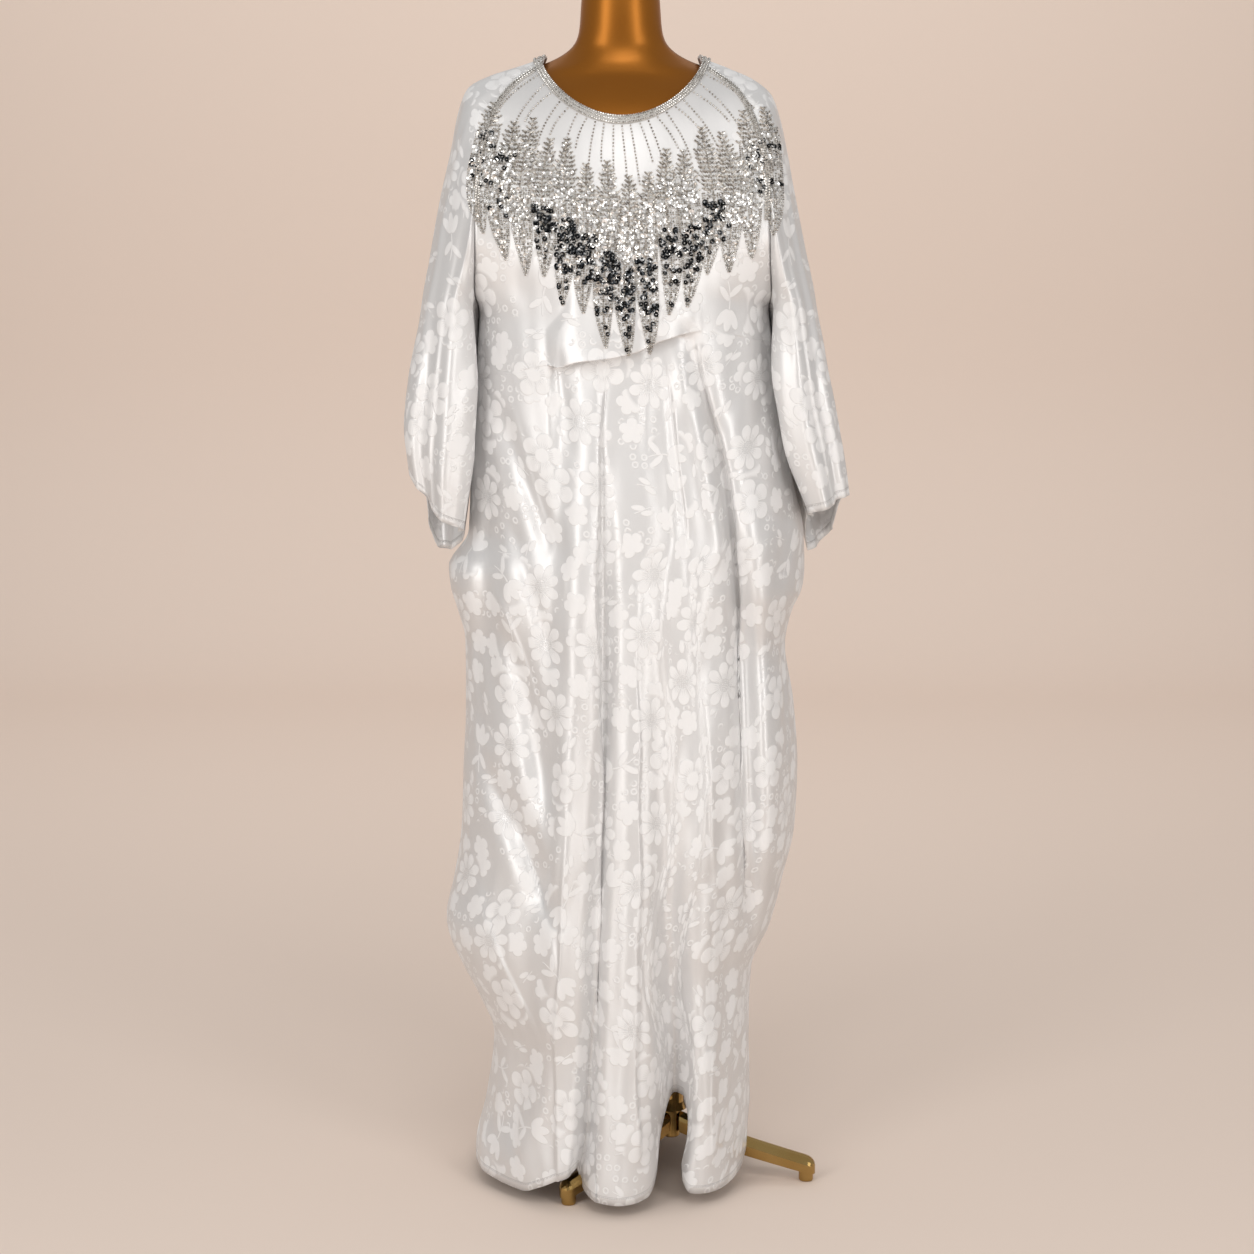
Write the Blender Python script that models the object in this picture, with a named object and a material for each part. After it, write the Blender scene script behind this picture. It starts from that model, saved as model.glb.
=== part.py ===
"""Silk kaftan dress on a limbless dress form with a brass tripod stand.

Metres, +Z up, the front of the dress towards -Y. Each cloth piece is a thin wall through rows of
points: a row runs across the piece, and the rows follow its seams, its tuck and its hem.
"""
import math
from collections import namedtuple

import bmesh
import bpy
import numpy as np
from mathutils import Vector
from mathutils.bvhtree import BVHTree

# Driving dimensions of the cloth and its trims
CLOTH = 0.0012
SEAM_GAP = 0.0003
TRIM_THICK = 0.0014
TRIM_LIFT = 0.0011
TRIM_INSET = 0.001
TRIM_WIDE = 0.0075
TUCK_STEP = 0.013
FORM_CLEAR = 0.0006

# Rows down the cloth: the band's lower edge, the underarm, the tuck's lip and root, the cuff
BAND_ROW = 0.38
RAGLAN_ROWS = 9
LIP_ROW = 10
ROOT_ROW = 11
CUFF_ROW = 13
TRIM_ROWS = 8
SMOOTH_SEAM = 7
# Where the rows of the skirt lie, as shares of the way from the tuck to the hem
SKIRT_ROWS = (0, 0.05, 0.11, 0.17, 0.21, 0.245, 0.28, 0.33, 0.40, 0.48, 0.56, 0.62, 0.665, 0.715, 0.77,
              0.83, 0.885, 0.925, 0.965, 1)

# Columns across each piece, and how much closer they lie in the middle
FRONT_COLUMNS = 46
BACK_COLUMNS = 26
SLEEVE_COLUMNS = 20
MIDDLE_CROWDING = 0.22

# How far the shaping fades: folds at their ends and at the side seams, the tuck up and down
FOLD_END = 0.06
SEAM_FADE = 0.45
TUCK_FADE_UP = 0.07
TUCK_FADE_DOWN = 0.16
TUCK_MID_Z = 1.07
HEM_MID_Z = 0.03
EDGE_BLEND = 1.6

# The neckline: an ellipse that dips in front
NECK_MID = -0.006
NECK_HALF = 0.100
NECK_SIDE_Z = 1.440
NECK_SIDE_Y = 0.010
NECK_REACH = 0.078
FRONT_DROP = 0.076
BACK_DROP = 0.014
NECK_CORNER = math.radians(80)

# The ring that the body cloth hangs in, from the hem up
Section = namedtuple("Section", "z left right front back square")
BODY = (
    Section(0.000, -0.196, 0.164, 0.184, 0.186, 2.1),
    Section(0.040, -0.197, 0.163, 0.182, 0.184, 2.1),
    Section(0.100, -0.185, 0.162, 0.178, 0.180, 2.1),
    Section(0.190, -0.174, 0.160, 0.172, 0.174, 2.2),
    Section(0.240, -0.192, 0.160, 0.170, 0.170, 2.2),
    Section(0.280, -0.213, 0.163, 0.168, 0.168, 2.2),
    Section(0.340, -0.236, 0.188, 0.165, 0.165, 2.2),
    Section(0.395, -0.225, 0.202, 0.162, 0.162, 2.2),
    Section(0.460, -0.215, 0.217, 0.160, 0.159, 2.3),
    Section(0.540, -0.212, 0.221, 0.157, 0.155, 2.3),
    Section(0.630, -0.207, 0.214, 0.153, 0.151, 2.3),
    Section(0.705, -0.210, 0.205, 0.151, 0.148, 2.3),
    Section(0.745, -0.220, 0.213, 0.150, 0.146, 2.3),
    Section(0.775, -0.233, 0.231, 0.149, 0.144, 2.3),
    Section(0.798, -0.230, 0.233, 0.148, 0.142, 2.3),
    Section(0.845, -0.2025, 0.226, 0.147, 0.140, 2.3),
    Section(0.915, -0.1990, 0.2102, 0.143, 0.135, 2.3),
    Section(1.000, -0.1930, 0.1945, 0.139, 0.130, 2.3),
    Section(1.080, -0.1882, 0.1832, 0.138, 0.126, 2.3),
    Section(1.160, -0.185, 0.176, 0.139, 0.124, 2.3),
    Section(1.230, -0.186, 0.178, 0.130, 0.123, 2.3),
    Section(1.300, -0.184, 0.175, 0.108, 0.116, 2.3),
    Section(1.350, -0.178, 0.170, 0.088, 0.104, 2.2),
    Section(1.390, -0.165, 0.158, 0.066, 0.085, 2.2),
    Section(1.420, -0.150, 0.140, 0.042, 0.060, 2.2),
    Section(1.440, -0.125, 0.115, 0.022, 0.035, 2.2),
)

# Each sleeve's rings: the ridge over the shoulder, the middle, and the side next to the body
Ring = namedtuple("Ring", "row ridge_x ridge_z mid_x mid_z inner_x inner_z front back wrap")
SLEEVE_LEFT = (
    Ring(0, -0.1000, 1.440, -0.1085, 1.4230, -0.1085, 1.4230, 0.0266, 0.0266, 62),
    Ring(1, -0.140, 1.427, -0.1193, 1.4063, -0.1193, 1.4063, 0.0374, 0.0408, 62),
    Ring(2, -0.173, 1.416, -0.1410, 1.3772, -0.1410, 1.3772, 0.0558, 0.0613, 66),
    Ring(3, -0.198, 1.402, -0.1570, 1.3427, -0.1570, 1.3427, 0.0713, 0.0766, 70),
    Ring(4, -0.212, 1.368, -0.1711, 1.3139, -0.1711, 1.3139, 0.0855, 0.0876, 76),
    Ring(5, -0.220, 1.325, -0.1832, 1.2859, -0.1820, 1.2859, 0.0935, 0.0925, 84),
    Ring(6, -0.230, 1.282, -0.191, 1.254, -0.174, 1.240, 0.099, 0.096, 104),
    Ring(7, -0.240, 1.235, -0.200, 1.210, -0.178, 1.190, 0.102, 0.098, 126),
    Ring(8, -0.248, 1.186, -0.210, 1.166, -0.1835, 1.150, 0.104, 0.099, 152),
    Ring(9, -0.256, 1.139, -0.220, 1.126, -0.1867, 1.115, 0.105, 0.100, 180),
    Ring(10, -0.266, 1.060, -0.227, 1.050, -0.1930, 1.045, 0.106, 0.098, 180),
    Ring(11, -0.275, 1.000, -0.232, 0.985, -0.1970, 0.975, 0.107, 0.094, 180),
    Ring(12, -0.281, 0.970, -0.237, 0.930, -0.2015, 0.910, 0.106, 0.088, 180),
    Ring(13, -0.274, 0.945, -0.236, 0.872, -0.2085, 0.847, 0.102, 0.080, 180),
)
SLEEVE_RIGHT = (
    Ring(0, 0.0885, 1.440, 0.0960, 1.4230, 0.0960, 1.4230, 0.0266, 0.0266, 62),
    Ring(1, 0.126, 1.427, 0.1015, 1.4100, 0.1015, 1.4100, 0.0374, 0.0408, 62),
    Ring(2, 0.158, 1.413, 0.1260, 1.3860, 0.1260, 1.3860, 0.0558, 0.0613, 66),
    Ring(3, 0.181, 1.394, 0.1445, 1.3515, 0.1445, 1.3515, 0.0713, 0.0766, 70),
    Ring(4, 0.192, 1.362, 0.1617, 1.3198, 0.1617, 1.3198, 0.0845, 0.0876, 76),
    Ring(5, 0.200, 1.324, 0.1732, 1.2905, 0.1720, 1.2905, 0.0925, 0.0925, 84),
    Ring(6, 0.208, 1.282, 0.1795, 1.256, 0.163, 1.240, 0.098, 0.096, 104),
    Ring(7, 0.217, 1.235, 0.189, 1.212, 0.167, 1.190, 0.102, 0.098, 126),
    Ring(8, 0.227, 1.186, 0.199, 1.167, 0.174, 1.150, 0.104, 0.099, 152),
    Ring(9, 0.236, 1.139, 0.210, 1.126, 0.1800, 1.115, 0.105, 0.100, 180),
    Ring(10, 0.248, 1.075, 0.218, 1.055, 0.1900, 1.045, 0.106, 0.098, 180),
    Ring(11, 0.258, 1.010, 0.228, 0.990, 0.2010, 0.970, 0.106, 0.094, 180),
    Ring(12, 0.270, 0.950, 0.241, 0.930, 0.2125, 0.915, 0.104, 0.088, 180),
    Ring(13, 0.280, 0.903, 0.255, 0.880, 0.2300, 0.867, 0.100, 0.080, 180),
)
# Height of each cuff's edge round the sleeve: -90 is the front, 0 the outer ridge, 90 the back
Cuff = namedtuple("Cuff", "turn left_z right_z")
CUFF = (
    Cuff(-180, 0.846, 0.866),
    Cuff(-135, 0.853, 0.873),
    Cuff(-90, 0.871, 0.884),
    Cuff(-50, 0.903, 0.894),
    Cuff(0, 0.950, 0.900),
    Cuff(40, 0.895, 0.860),
    Cuff(90, 0.840, 0.838),
    Cuff(135, 0.826, 0.828),
    Cuff(180, 0.846, 0.866),
)
# Lengthwise folds in the sleeves, by their place round the sleeve; depth is outward
SleeveFold = namedtuple("SleeveFold", "turn wide top_depth cuff_depth")
SLEEVE_FOLDS = (
    SleeveFold(-150, 22, 0.0, -0.007),
    SleeveFold(-112, 16, 0.0, 0.006),
    SleeveFold(-62, 18, 0.0, -0.010),
    SleeveFold(-30, 14, 0.002, 0.006),
    SleeveFold(34, 18, 0.0, -0.010),
    SleeveFold(78, 20, 0.0, 0.007),
    SleeveFold(118, 20, 0.0, -0.009),
)

# Folds of the front, each along a path down the cloth; depth is forward, a valley is negative
Knot = namedtuple("Knot", "z x depth")
Fold = namedtuple("Fold", "name wide path")
FRONT_FOLDS = (
    Fold("main ridge", 0.022, (
        Knot(1.06, -0.047, 0.003), Knot(0.85, -0.060, 0.012), Knot(0.60, -0.071, 0.016),
        Knot(0.35, -0.085, 0.018), Knot(0.15, -0.110, 0.012), Knot(0.05, -0.150, 0.004))),
    Fold("main valley", 0.011, (
        Knot(0.98, -0.030, 0.0), Knot(0.72, -0.028, -0.013), Knot(0.45, -0.036, -0.020),
        Knot(0.20, -0.047, -0.030), Knot(0.02, -0.055, -0.042))),
    Fold("middle lobe", 0.030, (
        Knot(0.90, 0.004, 0.002), Knot(0.50, -0.002, 0.010), Knot(0.02, -0.012, 0.020))),
    Fold("arch pleat", 0.019, (
        Knot(0.75, 0.040, 0.0), Knot(0.45, 0.048, -0.010), Knot(0.16, 0.060, -0.046),
        Knot(0.02, 0.058, -0.080))),
    Fold("right lobe", 0.026, (
        Knot(0.80, 0.085, 0.004), Knot(0.40, 0.096, 0.010), Knot(0.02, 0.108, 0.018))),
    Fold("side valley", 0.013, (
        Knot(1.12, 0.070, 0.0), Knot(1.05, 0.092, -0.010), Knot(0.90, 0.128, -0.017),
        Knot(0.70, 0.148, -0.026), Knot(0.45, 0.156, -0.022), Knot(0.25, 0.160, 0.0))),
    Fold("side roll", 0.020, (
        Knot(1.00, 0.150, 0.002), Knot(0.70, 0.182, 0.014), Knot(0.45, 0.186, 0.010),
        Knot(0.32, 0.180, 0.0))),
    Fold("upper diagonal", 0.014, (
        Knot(1.03, -0.168, 0.0), Knot(0.95, -0.135, -0.009), Knot(0.88, -0.108, -0.009),
        Knot(0.80, -0.082, 0.0))),
    Fold("middle diagonal", 0.016, (
        Knot(0.76, -0.165, 0.0), Knot(0.67, -0.130, -0.010), Knot(0.57, -0.108, -0.008),
        Knot(0.50, -0.095, 0.0))),
    Fold("lower diagonal", 0.016, (
        Knot(0.58, -0.185, 0.0), Knot(0.50, -0.150, -0.012), Knot(0.43, -0.118, -0.010),
        Knot(0.36, -0.095, 0.0))),
    Fold("left edge roll", 0.018, (
        Knot(1.02, -0.172, 0.0), Knot(0.80, -0.176, -0.012), Knot(0.65, -0.186, -0.008),
        Knot(0.55, -0.190, 0.0))),
    Fold("low swoop", 0.020, (
        Knot(0.24, -0.105, 0.0), Knot(0.14, -0.128, -0.014), Knot(0.05, -0.165, -0.008))),
    Fold("bodice drape", 0.030, (
        Knot(1.28, -0.135, 0.0), Knot(1.16, -0.120, -0.008), Knot(1.08, -0.105, 0.0))),
)
BACK_FOLDS = (
    Fold("left drape", 0.028, (
        Knot(1.20, -0.120, 0.0), Knot(0.80, -0.135, 0.014), Knot(0.02, -0.140, 0.022))),
    Fold("left hollow", 0.026, (
        Knot(1.10, -0.070, 0.0), Knot(0.70, -0.078, -0.014), Knot(0.02, -0.085, -0.026))),
    Fold("middle drape", 0.030, (
        Knot(1.25, -0.010, 0.0), Knot(0.80, -0.015, 0.010), Knot(0.02, -0.022, 0.020))),
    Fold("right hollow", 0.026, (
        Knot(1.10, 0.050, 0.0), Knot(0.70, 0.050, -0.014), Knot(0.02, 0.046, -0.028))),
    Fold("right drape", 0.028, (
        Knot(1.20, 0.105, 0.0), Knot(0.80, 0.112, 0.014), Knot(0.02, 0.108, 0.020))),
)

# The front's tuck: its height across the body, and how much of the full step it has there
Tuck = namedtuple("Tuck", "x z share")
TUCK = (
    Tuck(-0.200, 1.040, 0.0), Tuck(-0.112, 1.056, 0.0), Tuck(-0.094, 1.061, 0.8), Tuck(-0.060, 1.071, 1.0),
    Tuck(-0.020, 1.076, 1.0), Tuck(0.010, 1.083, 1.0), Tuck(0.046, 1.097, 0.9), Tuck(0.074, 1.101, 0.4),
    Tuck(0.095, 1.100, 0.0), Tuck(0.200, 1.080, 0.0),
)
Hem = namedtuple("Hem", "x z")
FRONT_HEM = (
    Hem(-0.200, 0.024), Hem(-0.163, 0.017), Hem(-0.135, 0.016), Hem(-0.105, 0.030), Hem(-0.075, 0.044),
    Hem(-0.056, 0.048), Hem(-0.048, 0.026), Hem(-0.030, 0.017), Hem(0.000, 0.018), Hem(0.022, 0.026),
    Hem(0.034, 0.050), Hem(0.044, 0.105), Hem(0.056, 0.134), Hem(0.068, 0.134), Hem(0.077, 0.100),
    Hem(0.084, 0.034), Hem(0.095, 0.018), Hem(0.120, 0.017), Hem(0.143, 0.022), Hem(0.153, 0.045),
    Hem(0.161, 0.092), Hem(0.170, 0.098),
)
BACK_HEM = (
    Hem(-0.200, 0.024), Hem(-0.140, 0.020), Hem(-0.085, 0.034), Hem(-0.022, 0.020), Hem(0.046, 0.036),
    Hem(0.100, 0.020), Hem(0.135, 0.035), Hem(0.155, 0.085), Hem(0.170, 0.098),
)

# The dress form, from its flat foot up
Torso = namedtuple("Torso", "z half front back middle_y")
TORSO = (
    Torso(0.740, 0.150, 0.088, 0.100, 0.0), Torso(0.746, 0.158, 0.094, 0.106, 0.0),
    Torso(0.800, 0.166, 0.100, 0.112, 0.0), Torso(0.870, 0.168, 0.102, 0.114, 0.0),
    Torso(0.950, 0.150, 0.096, 0.100, 0.0), Torso(1.030, 0.124, 0.090, 0.084, 0.0),
    Torso(1.090, 0.122, 0.092, 0.082, 0.0), Torso(1.150, 0.132, 0.108, 0.090, 0.0),
    Torso(1.205, 0.145, 0.118, 0.100, 0.0), Torso(1.260, 0.158, 0.112, 0.108, 0.0),
    Torso(1.310, 0.172, 0.102, 0.112, 0.0), Torso(1.350, 0.184, 0.088, 0.104, 0.0),
    Torso(1.375, 0.188, 0.076, 0.094, 0.0), Torso(1.392, 0.186, 0.064, 0.084, 0.0),
    Torso(1.406, 0.172, 0.054, 0.070, 0.0), Torso(1.416, 0.146, 0.045, 0.058, 0.001),
    Torso(1.424, 0.112, 0.041, 0.058, 0.001), Torso(1.432, 0.094, 0.041, 0.056, 0.002),
    Torso(1.442, 0.078, 0.044, 0.055, 0.004),
    Torso(1.456, 0.064, 0.047, 0.053, 0.006), Torso(1.475, 0.055, 0.049, 0.051, 0.008),
    Torso(1.500, 0.0495, 0.047, 0.048, 0.010), Torso(1.530, 0.0475, 0.046, 0.046, 0.012),
    Torso(1.556, 0.0480, 0.0465, 0.0465, 0.013), Torso(1.562, 0.0440, 0.0425, 0.0425, 0.013),
)
TORSO_MID = -0.008
TORSO_COLUMNS = 36
TORSO_FOOT_Z = TORSO[0].z
ROUNDNESS = 0.92
TORSO_SEE = Vector((TORSO_MID, 0.0, 1.24))

# The stand
POST_X = 0.058
POST_Y = -0.030
POST_RADIUS = 0.0095
FLANGE_RADIUS = 0.034
FLANGE_THICK = 0.004
HUB_RADIUS = 0.0165
HUB_TOP = 0.122
HUB_SKIRT_Z = 0.088
HUB_FOOT = 0.050
HUB_FOOT_RADIUS = 0.0115
SCREW_RADIUS = 0.0034
SCREW_Z = 0.108
LEG_REACH = 0.190
LEG_START = HUB_FOOT_RADIUS + SEAM_GAP
LEG_WIDE = 0.024
LEG_ROOT_TOP = 0.084
LEG_TIP_TOP = 0.031
LEG_ROOT_DEEP = 0.026
LEG_TIP_DEEP = 0.021
FOOT_RADIUS = 0.0095
FOOT_ROUND = 0.0022
LEGS = {"leg_front": 222.0, "leg_side": 350.0, "leg_back": 106.0}

COLOURS = {
    "satin": ((0.80, 0.785, 0.77, 1.0), 0.34, 0.0),
    "bead": ((0.62, 0.60, 0.56, 1.0), 0.25, 0.9),
    "bronze": ((0.33, 0.14, 0.035, 1.0), 0.28, 0.35),
    "brass": ((0.52, 0.33, 0.09, 1.0), 0.16, 1.0),
}


def smooth(at, knots, values):
    """A smooth curve through the knots that never overshoots them."""
    at = np.asarray(at, float)
    knots = np.asarray(knots, float)
    values = np.asarray(values, float)
    step = np.diff(knots)
    slope = np.diff(values) / step
    tangent = np.concatenate(([slope[0]], np.zeros(len(slope) - 1), [slope[-1]]))
    same = slope[:-1] * slope[1:] > 0
    tangent[1:-1][same] = 2 * slope[:-1][same] * slope[1:][same] / (slope[:-1] + slope[1:])[same]
    low = np.clip(np.searchsorted(knots, at, side="right") - 1, 0, len(step) - 1)
    t = np.clip((at - knots[low]) / step[low], 0, 1)
    rise = step[low] * t * (1 - t)
    start, end = values[low], values[low + 1]
    ease = t * t * (3 - 2 * t)
    return start + (end - start) * ease + rise * ((1 - t) * tangent[low] - t * tangent[low + 1])


def column(rows, name):
    return [getattr(row, name) for row in rows]


def ramp(at, low, high):
    t = np.clip((at - low) / (high - low), 0, 1)
    return t * t * (3 - 2 * t)


def folds(x, z, table):
    total = np.zeros_like(x)
    for fold in table:
        path = fold.path[::-1]
        heights = column(path, "z")
        centre = smooth(z, heights, column(path, "x"))
        depth = smooth(z, heights, column(path, "depth"))
        depth = depth * ramp(z, heights[0] - FOLD_END, heights[0])
        depth = depth * (1 - ramp(z, heights[-1], heights[-1] + FOLD_END))
        total += depth * np.exp(-((x - centre) / fold.wide) ** 2)
    return total


def body_ring(angle, z, side):
    """Points of the hanging body cloth. The angle runs from -90 (left seam) to 90; side -1 is the front."""
    heights = column(BODY, "z")
    left = smooth(z, heights, column(BODY, "left"))
    right = smooth(z, heights, column(BODY, "right"))
    deep = smooth(z, heights, column(BODY, "front" if side < 0 else "back"))
    square = smooth(z, heights, column(BODY, "square"))
    across = np.abs(np.sin(angle)) * 2 / (right - left)
    along = np.abs(np.cos(angle)) / deep
    reach = (across**square + along**square) ** (-1 / square)
    x = (left + right) / 2 + reach * np.sin(angle)
    y = reach * np.cos(angle)
    y = y + ramp(np.cos(angle), 0.0, SEAM_FADE) * folds(x, z, FRONT_FOLDS if side < 0 else BACK_FOLDS)
    return np.stack((x, side * y, z + 0 * x), -1)


def sleeve_point(rings, row, turn):
    """A point of a sleeve: row down the sleeve, turn round it from -1 (front seam) to 1 (back seam)."""
    rows = column(rings, "row")
    now = {name: smooth(row, rows, column(rings, name)) for name in Ring._fields}
    wrap = np.radians(now["wrap"]) * turn
    cos, sin = np.cos(wrap), np.sin(wrap)
    share = np.clip((row - RAGLAN_ROWS) / (CUFF_ROW - RAGLAN_ROWS), 0, 1)
    swell = np.zeros_like(cos)
    for fold in SLEEVE_FOLDS:
        depth = fold.top_depth + (fold.cuff_depth - fold.top_depth) * ramp(row, 3, CUFF_ROW)
        swell += depth * np.exp(-((np.degrees(wrap) - fold.turn) / fold.wide) ** 2)
    toward = cos >= 0
    side_x = np.where(toward, now["ridge_x"], now["inner_x"]) - now["mid_x"]
    side_z = np.where(toward, now["ridge_z"], now["inner_z"]) - now["mid_z"]
    deep = np.where(sin < 0, now["front"], now["back"])
    outward = np.sign(rings[0].ridge_x)
    x = now["mid_x"] + side_x * np.abs(cos) + outward * swell * cos
    y = (deep + swell * np.abs(sin)) * sin
    z = now["mid_z"] + side_z * np.abs(cos)
    cuff_name = "left_z" if outward < 0 else "right_z"
    cuff_z = smooth(np.degrees(wrap), column(CUFF, "turn"), column(CUFF, cuff_name))
    start = rings[RAGLAN_ROWS]
    seam_side = np.where(toward, start.ridge_z, start.inner_z) - start.mid_z
    seam_z = start.mid_z + seam_side * np.abs(cos)
    z = np.where(row > RAGLAN_ROWS, seam_z + (cuff_z - seam_z) * share, z)
    return np.stack((x, y, z + 0 * x), -1)


def seam_turn(row):
    """How far round a sleeve its seams lie: just short of meeting below the underarm."""
    underarm_radius = 0.10
    return 1 - SEAM_GAP / 2 / underarm_radius / math.pi * (np.asarray(row, float) >= RAGLAN_ROWS)


def unit(vectors):
    return vectors / np.linalg.norm(vectors, axis=-1, keepdims=True)


def armhole(rings, rows, side):
    """The panel's edge beside a sleeve: the sleeve's own seam line, one seam gap away."""
    rows = np.asarray(rows, float)
    end = side * seam_turn(rows)
    edge = sleeve_point(rings, rows, end)
    ahead = unit(edge - sleeve_point(rings, rows, end * 0.98))
    down = sleeve_point(rings, np.minimum(rows + 0.02, RAGLAN_ROWS), end)
    down = unit(down - sleeve_point(rings, np.maximum(rows - 0.02, 0), end))
    outward = -unit(np.cross(ahead, down)) * side * np.sign(rings[0].ridge_x)
    wrap = smooth(rows, column(rings, "row"), column(rings, "wrap"))
    flat = np.clip((110 - wrap) / 20, 0, 1)[:, None]
    return edge + SEAM_GAP * unit(flat * ahead + (1 - flat) * outward)


def neckline(across, side):
    angle = across * NECK_CORNER
    drop = FRONT_DROP if side < 0 else BACK_DROP
    x = NECK_MID + NECK_HALF * np.sin(angle)
    y = NECK_SIDE_Y + NECK_REACH * np.cos(angle)
    z = NECK_SIDE_Z - drop * np.cos(angle) ** 1.4 - 0.009 * (1 - np.cos(angle)) * np.abs(across)
    return np.stack((x, side * y, z), -1)


def panel(side, columns):
    """The front (side -1) or back (side 1): rows from the neckline past the tuck to the hem."""
    skirt_rows = len(SKIRT_ROWS) - 1
    row = np.concatenate(([0, BAND_ROW], np.arange(1.0, ROOT_ROW + skirt_rows + 1)))
    row = row[:, None] + np.zeros((1, columns + 1))
    flat = np.linspace(-1, 1, columns + 1)[None, :]
    across = (1 - MIDDLE_CROWDING) * flat + MIDDLE_CROWDING * flat**3 + 0 * row
    upper = np.minimum(row[:, 0], RAGLAN_ROWS)
    edges = [armhole(rings, upper, side) for rings in (SLEEVE_LEFT, SLEEVE_RIGHT)]
    half_depth = 0.13 if side < 0 else 0.12
    gap_angle = SEAM_GAP / 2 / half_depth
    angles = []
    for edge in edges:
        z = edge[:, 2]
        middle = (smooth(z, column(BODY, "z"), column(BODY, "left"))
                  + smooth(z, column(BODY, "z"), column(BODY, "right"))) / 2
        angle = np.arctan2(edge[:, 0] - middle, side * edge[:, 1])
        limit = math.pi / 2 - gap_angle
        seam = math.copysign(limit, angle[0])
        angle = np.where(row[:, 0] >= RAGLAN_ROWS, seam, np.clip(angle, -limit, limit))
        angles.append(angle[:, None])
    angle = angles[0] + (angles[1] - angles[0]) * (across + 1) / 2

    neck = neckline(across[0], side)
    for edge, corner, flip in zip(edges, (0, -1), (-1, 1)):
        neck += (edge[0] - neck[corner]) * (np.clip(flip * across[0], 0, 1) ** 4)[:, None]
    place_x = body_ring(angle[-1], np.full(columns + 1, TUCK_MID_Z), side)[:, 0]
    tuck_z = np.interp(place_x, column(TUCK, "x"), column(TUCK, "z"))
    share = smooth(place_x, column(TUCK, "x"), column(TUCK, "share")) if side < 0 else np.zeros(columns + 1)
    lip_z = tuck_z - 0.006 * share + 0.003 * (1 - share)
    root_z = tuck_z + 0.004 * share - 0.003 * (1 - share)
    hem = FRONT_HEM if side < 0 else BACK_HEM
    hem_x = body_ring(angle[-1], np.full(columns + 1, HEM_MID_Z), side)[:, 0]
    hem_z = smooth(hem_x, column(hem, "x"), column(hem, "z"))

    down_middle = np.minimum(row / LIP_ROW, 1)
    down = down_middle.copy()
    for half, edge in zip((flat < 0, flat >= 0), edges):
        corner = 0 if edge is edges[0] else -1
        down_edge = (edge[:, 2] - edge[0, 2]) / (lip_z[corner] - edge[0, 2])
        down_edge = np.where(row[:, 0] > RAGLAN_ROWS, 1, down_edge)[:, None]
        mixed = down_middle + (down_edge - down_middle) * np.abs(across) ** EDGE_BLEND
        down = np.where(half, mixed, down)
    z = neck[None, :, 2] + (lip_z - neck[:, 2]) * np.clip(down, 0, 1)
    below = np.interp(row - ROOT_ROW, np.arange(skirt_rows + 1), SKIRT_ROWS)
    z = np.where(row >= ROOT_ROW, root_z + (hem_z - root_z) * below, z)

    points = body_ring(angle, z, side)
    step = TUCK_STEP * share * np.where(row >= ROOT_ROW, np.exp(-(root_z - z) / TUCK_FADE_DOWN), 0)
    blouse = TUCK_STEP / 2 * share * np.where(row < ROOT_ROW, np.exp(-((z - lip_z) / TUCK_FADE_UP) ** 2), 0)
    points[..., 1] += side * (blouse - step)

    for edge, flip in zip(edges, (-1, 1)):
        corner = 0 if flip < 0 else -1
        miss = np.where(row[:, :1] <= RAGLAN_ROWS, edge - points[:, corner], 0)
        weight = np.clip(flip * across, 0, 1) ** 4
        points += miss[:, None, :] * weight[..., None]
        miss_side = miss[row[:, 0] == RAGLAN_ROWS][0]
        fade = (1 - ramp(row, RAGLAN_ROWS, RAGLAN_ROWS + 4)) * (row > RAGLAN_ROWS)
        points += miss_side * (fade * weight)[..., None] * np.array((1, 0, 0))
    miss = neck - points[0]
    points += miss[None] * (1 - ramp(row, 0, 5))[..., None]
    return points


def sleeve(rings):
    rows = np.arange(CUFF_ROW + 1.0)
    rows = np.sort(np.concatenate((rows, [BAND_ROW], rows[RAGLAN_ROWS:-1] + 0.5)))[:, None]
    turn = np.linspace(-1, 1, SLEEVE_COLUMNS + 1)[None, :]
    return sleeve_point(rings, rows + 0 * turn, turn * seam_turn(rows))


def facing(points, outward, closed=False):
    """Unit normals of a grid of points, turned to the outward side."""
    if closed:
        across = np.roll(points, -1, 1) - np.roll(points, 1, 1)
    else:
        across = np.gradient(points, axis=1)
    down = np.gradient(points, axis=0)
    return unit(np.cross(down, across)) * outward


def grid_body(name, outer, inner, closed=False):
    """One closed wall between two grids of points."""
    rows, columns = outer.shape[:2]
    body = bmesh.new()
    layers = [[[body.verts.new(point) for point in line] for line in grid] for grid in (outer, inner)]
    wide = columns if closed else columns - 1
    for layer in layers:
        for r in range(rows - 1):
            for c in range(wide):
                d = (c + 1) % columns
                body.faces.new((layer[r][c], layer[r][d], layer[r + 1][d], layer[r + 1][c]))
    out, back = layers
    for r in (0, rows - 1):
        for c in range(wide):
            d = (c + 1) % columns
            body.faces.new((out[r][c], out[r][d], back[r][d], back[r][c]))
    if not closed:
        for r in range(rows - 1):
            for c in (0, columns - 1):
                body.faces.new((out[r][c], out[r + 1][c], back[r + 1][c], back[r][c]))
    bmesh.ops.triangulate(body, faces=body.faces[:], quad_method="FIXED")
    bmesh.ops.recalc_face_normals(body, faces=body.faces[:])
    return finish(name, body)


def finish(name, body):
    mesh = bpy.data.meshes.new(name)
    body.to_mesh(mesh)
    body.free()
    mesh.shade_smooth()
    mesh.set_sharp_from_angle(angle=math.radians(40))
    part = bpy.data.objects.new(name, mesh)
    bpy.context.scene.collection.objects.link(part)
    return part


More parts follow.
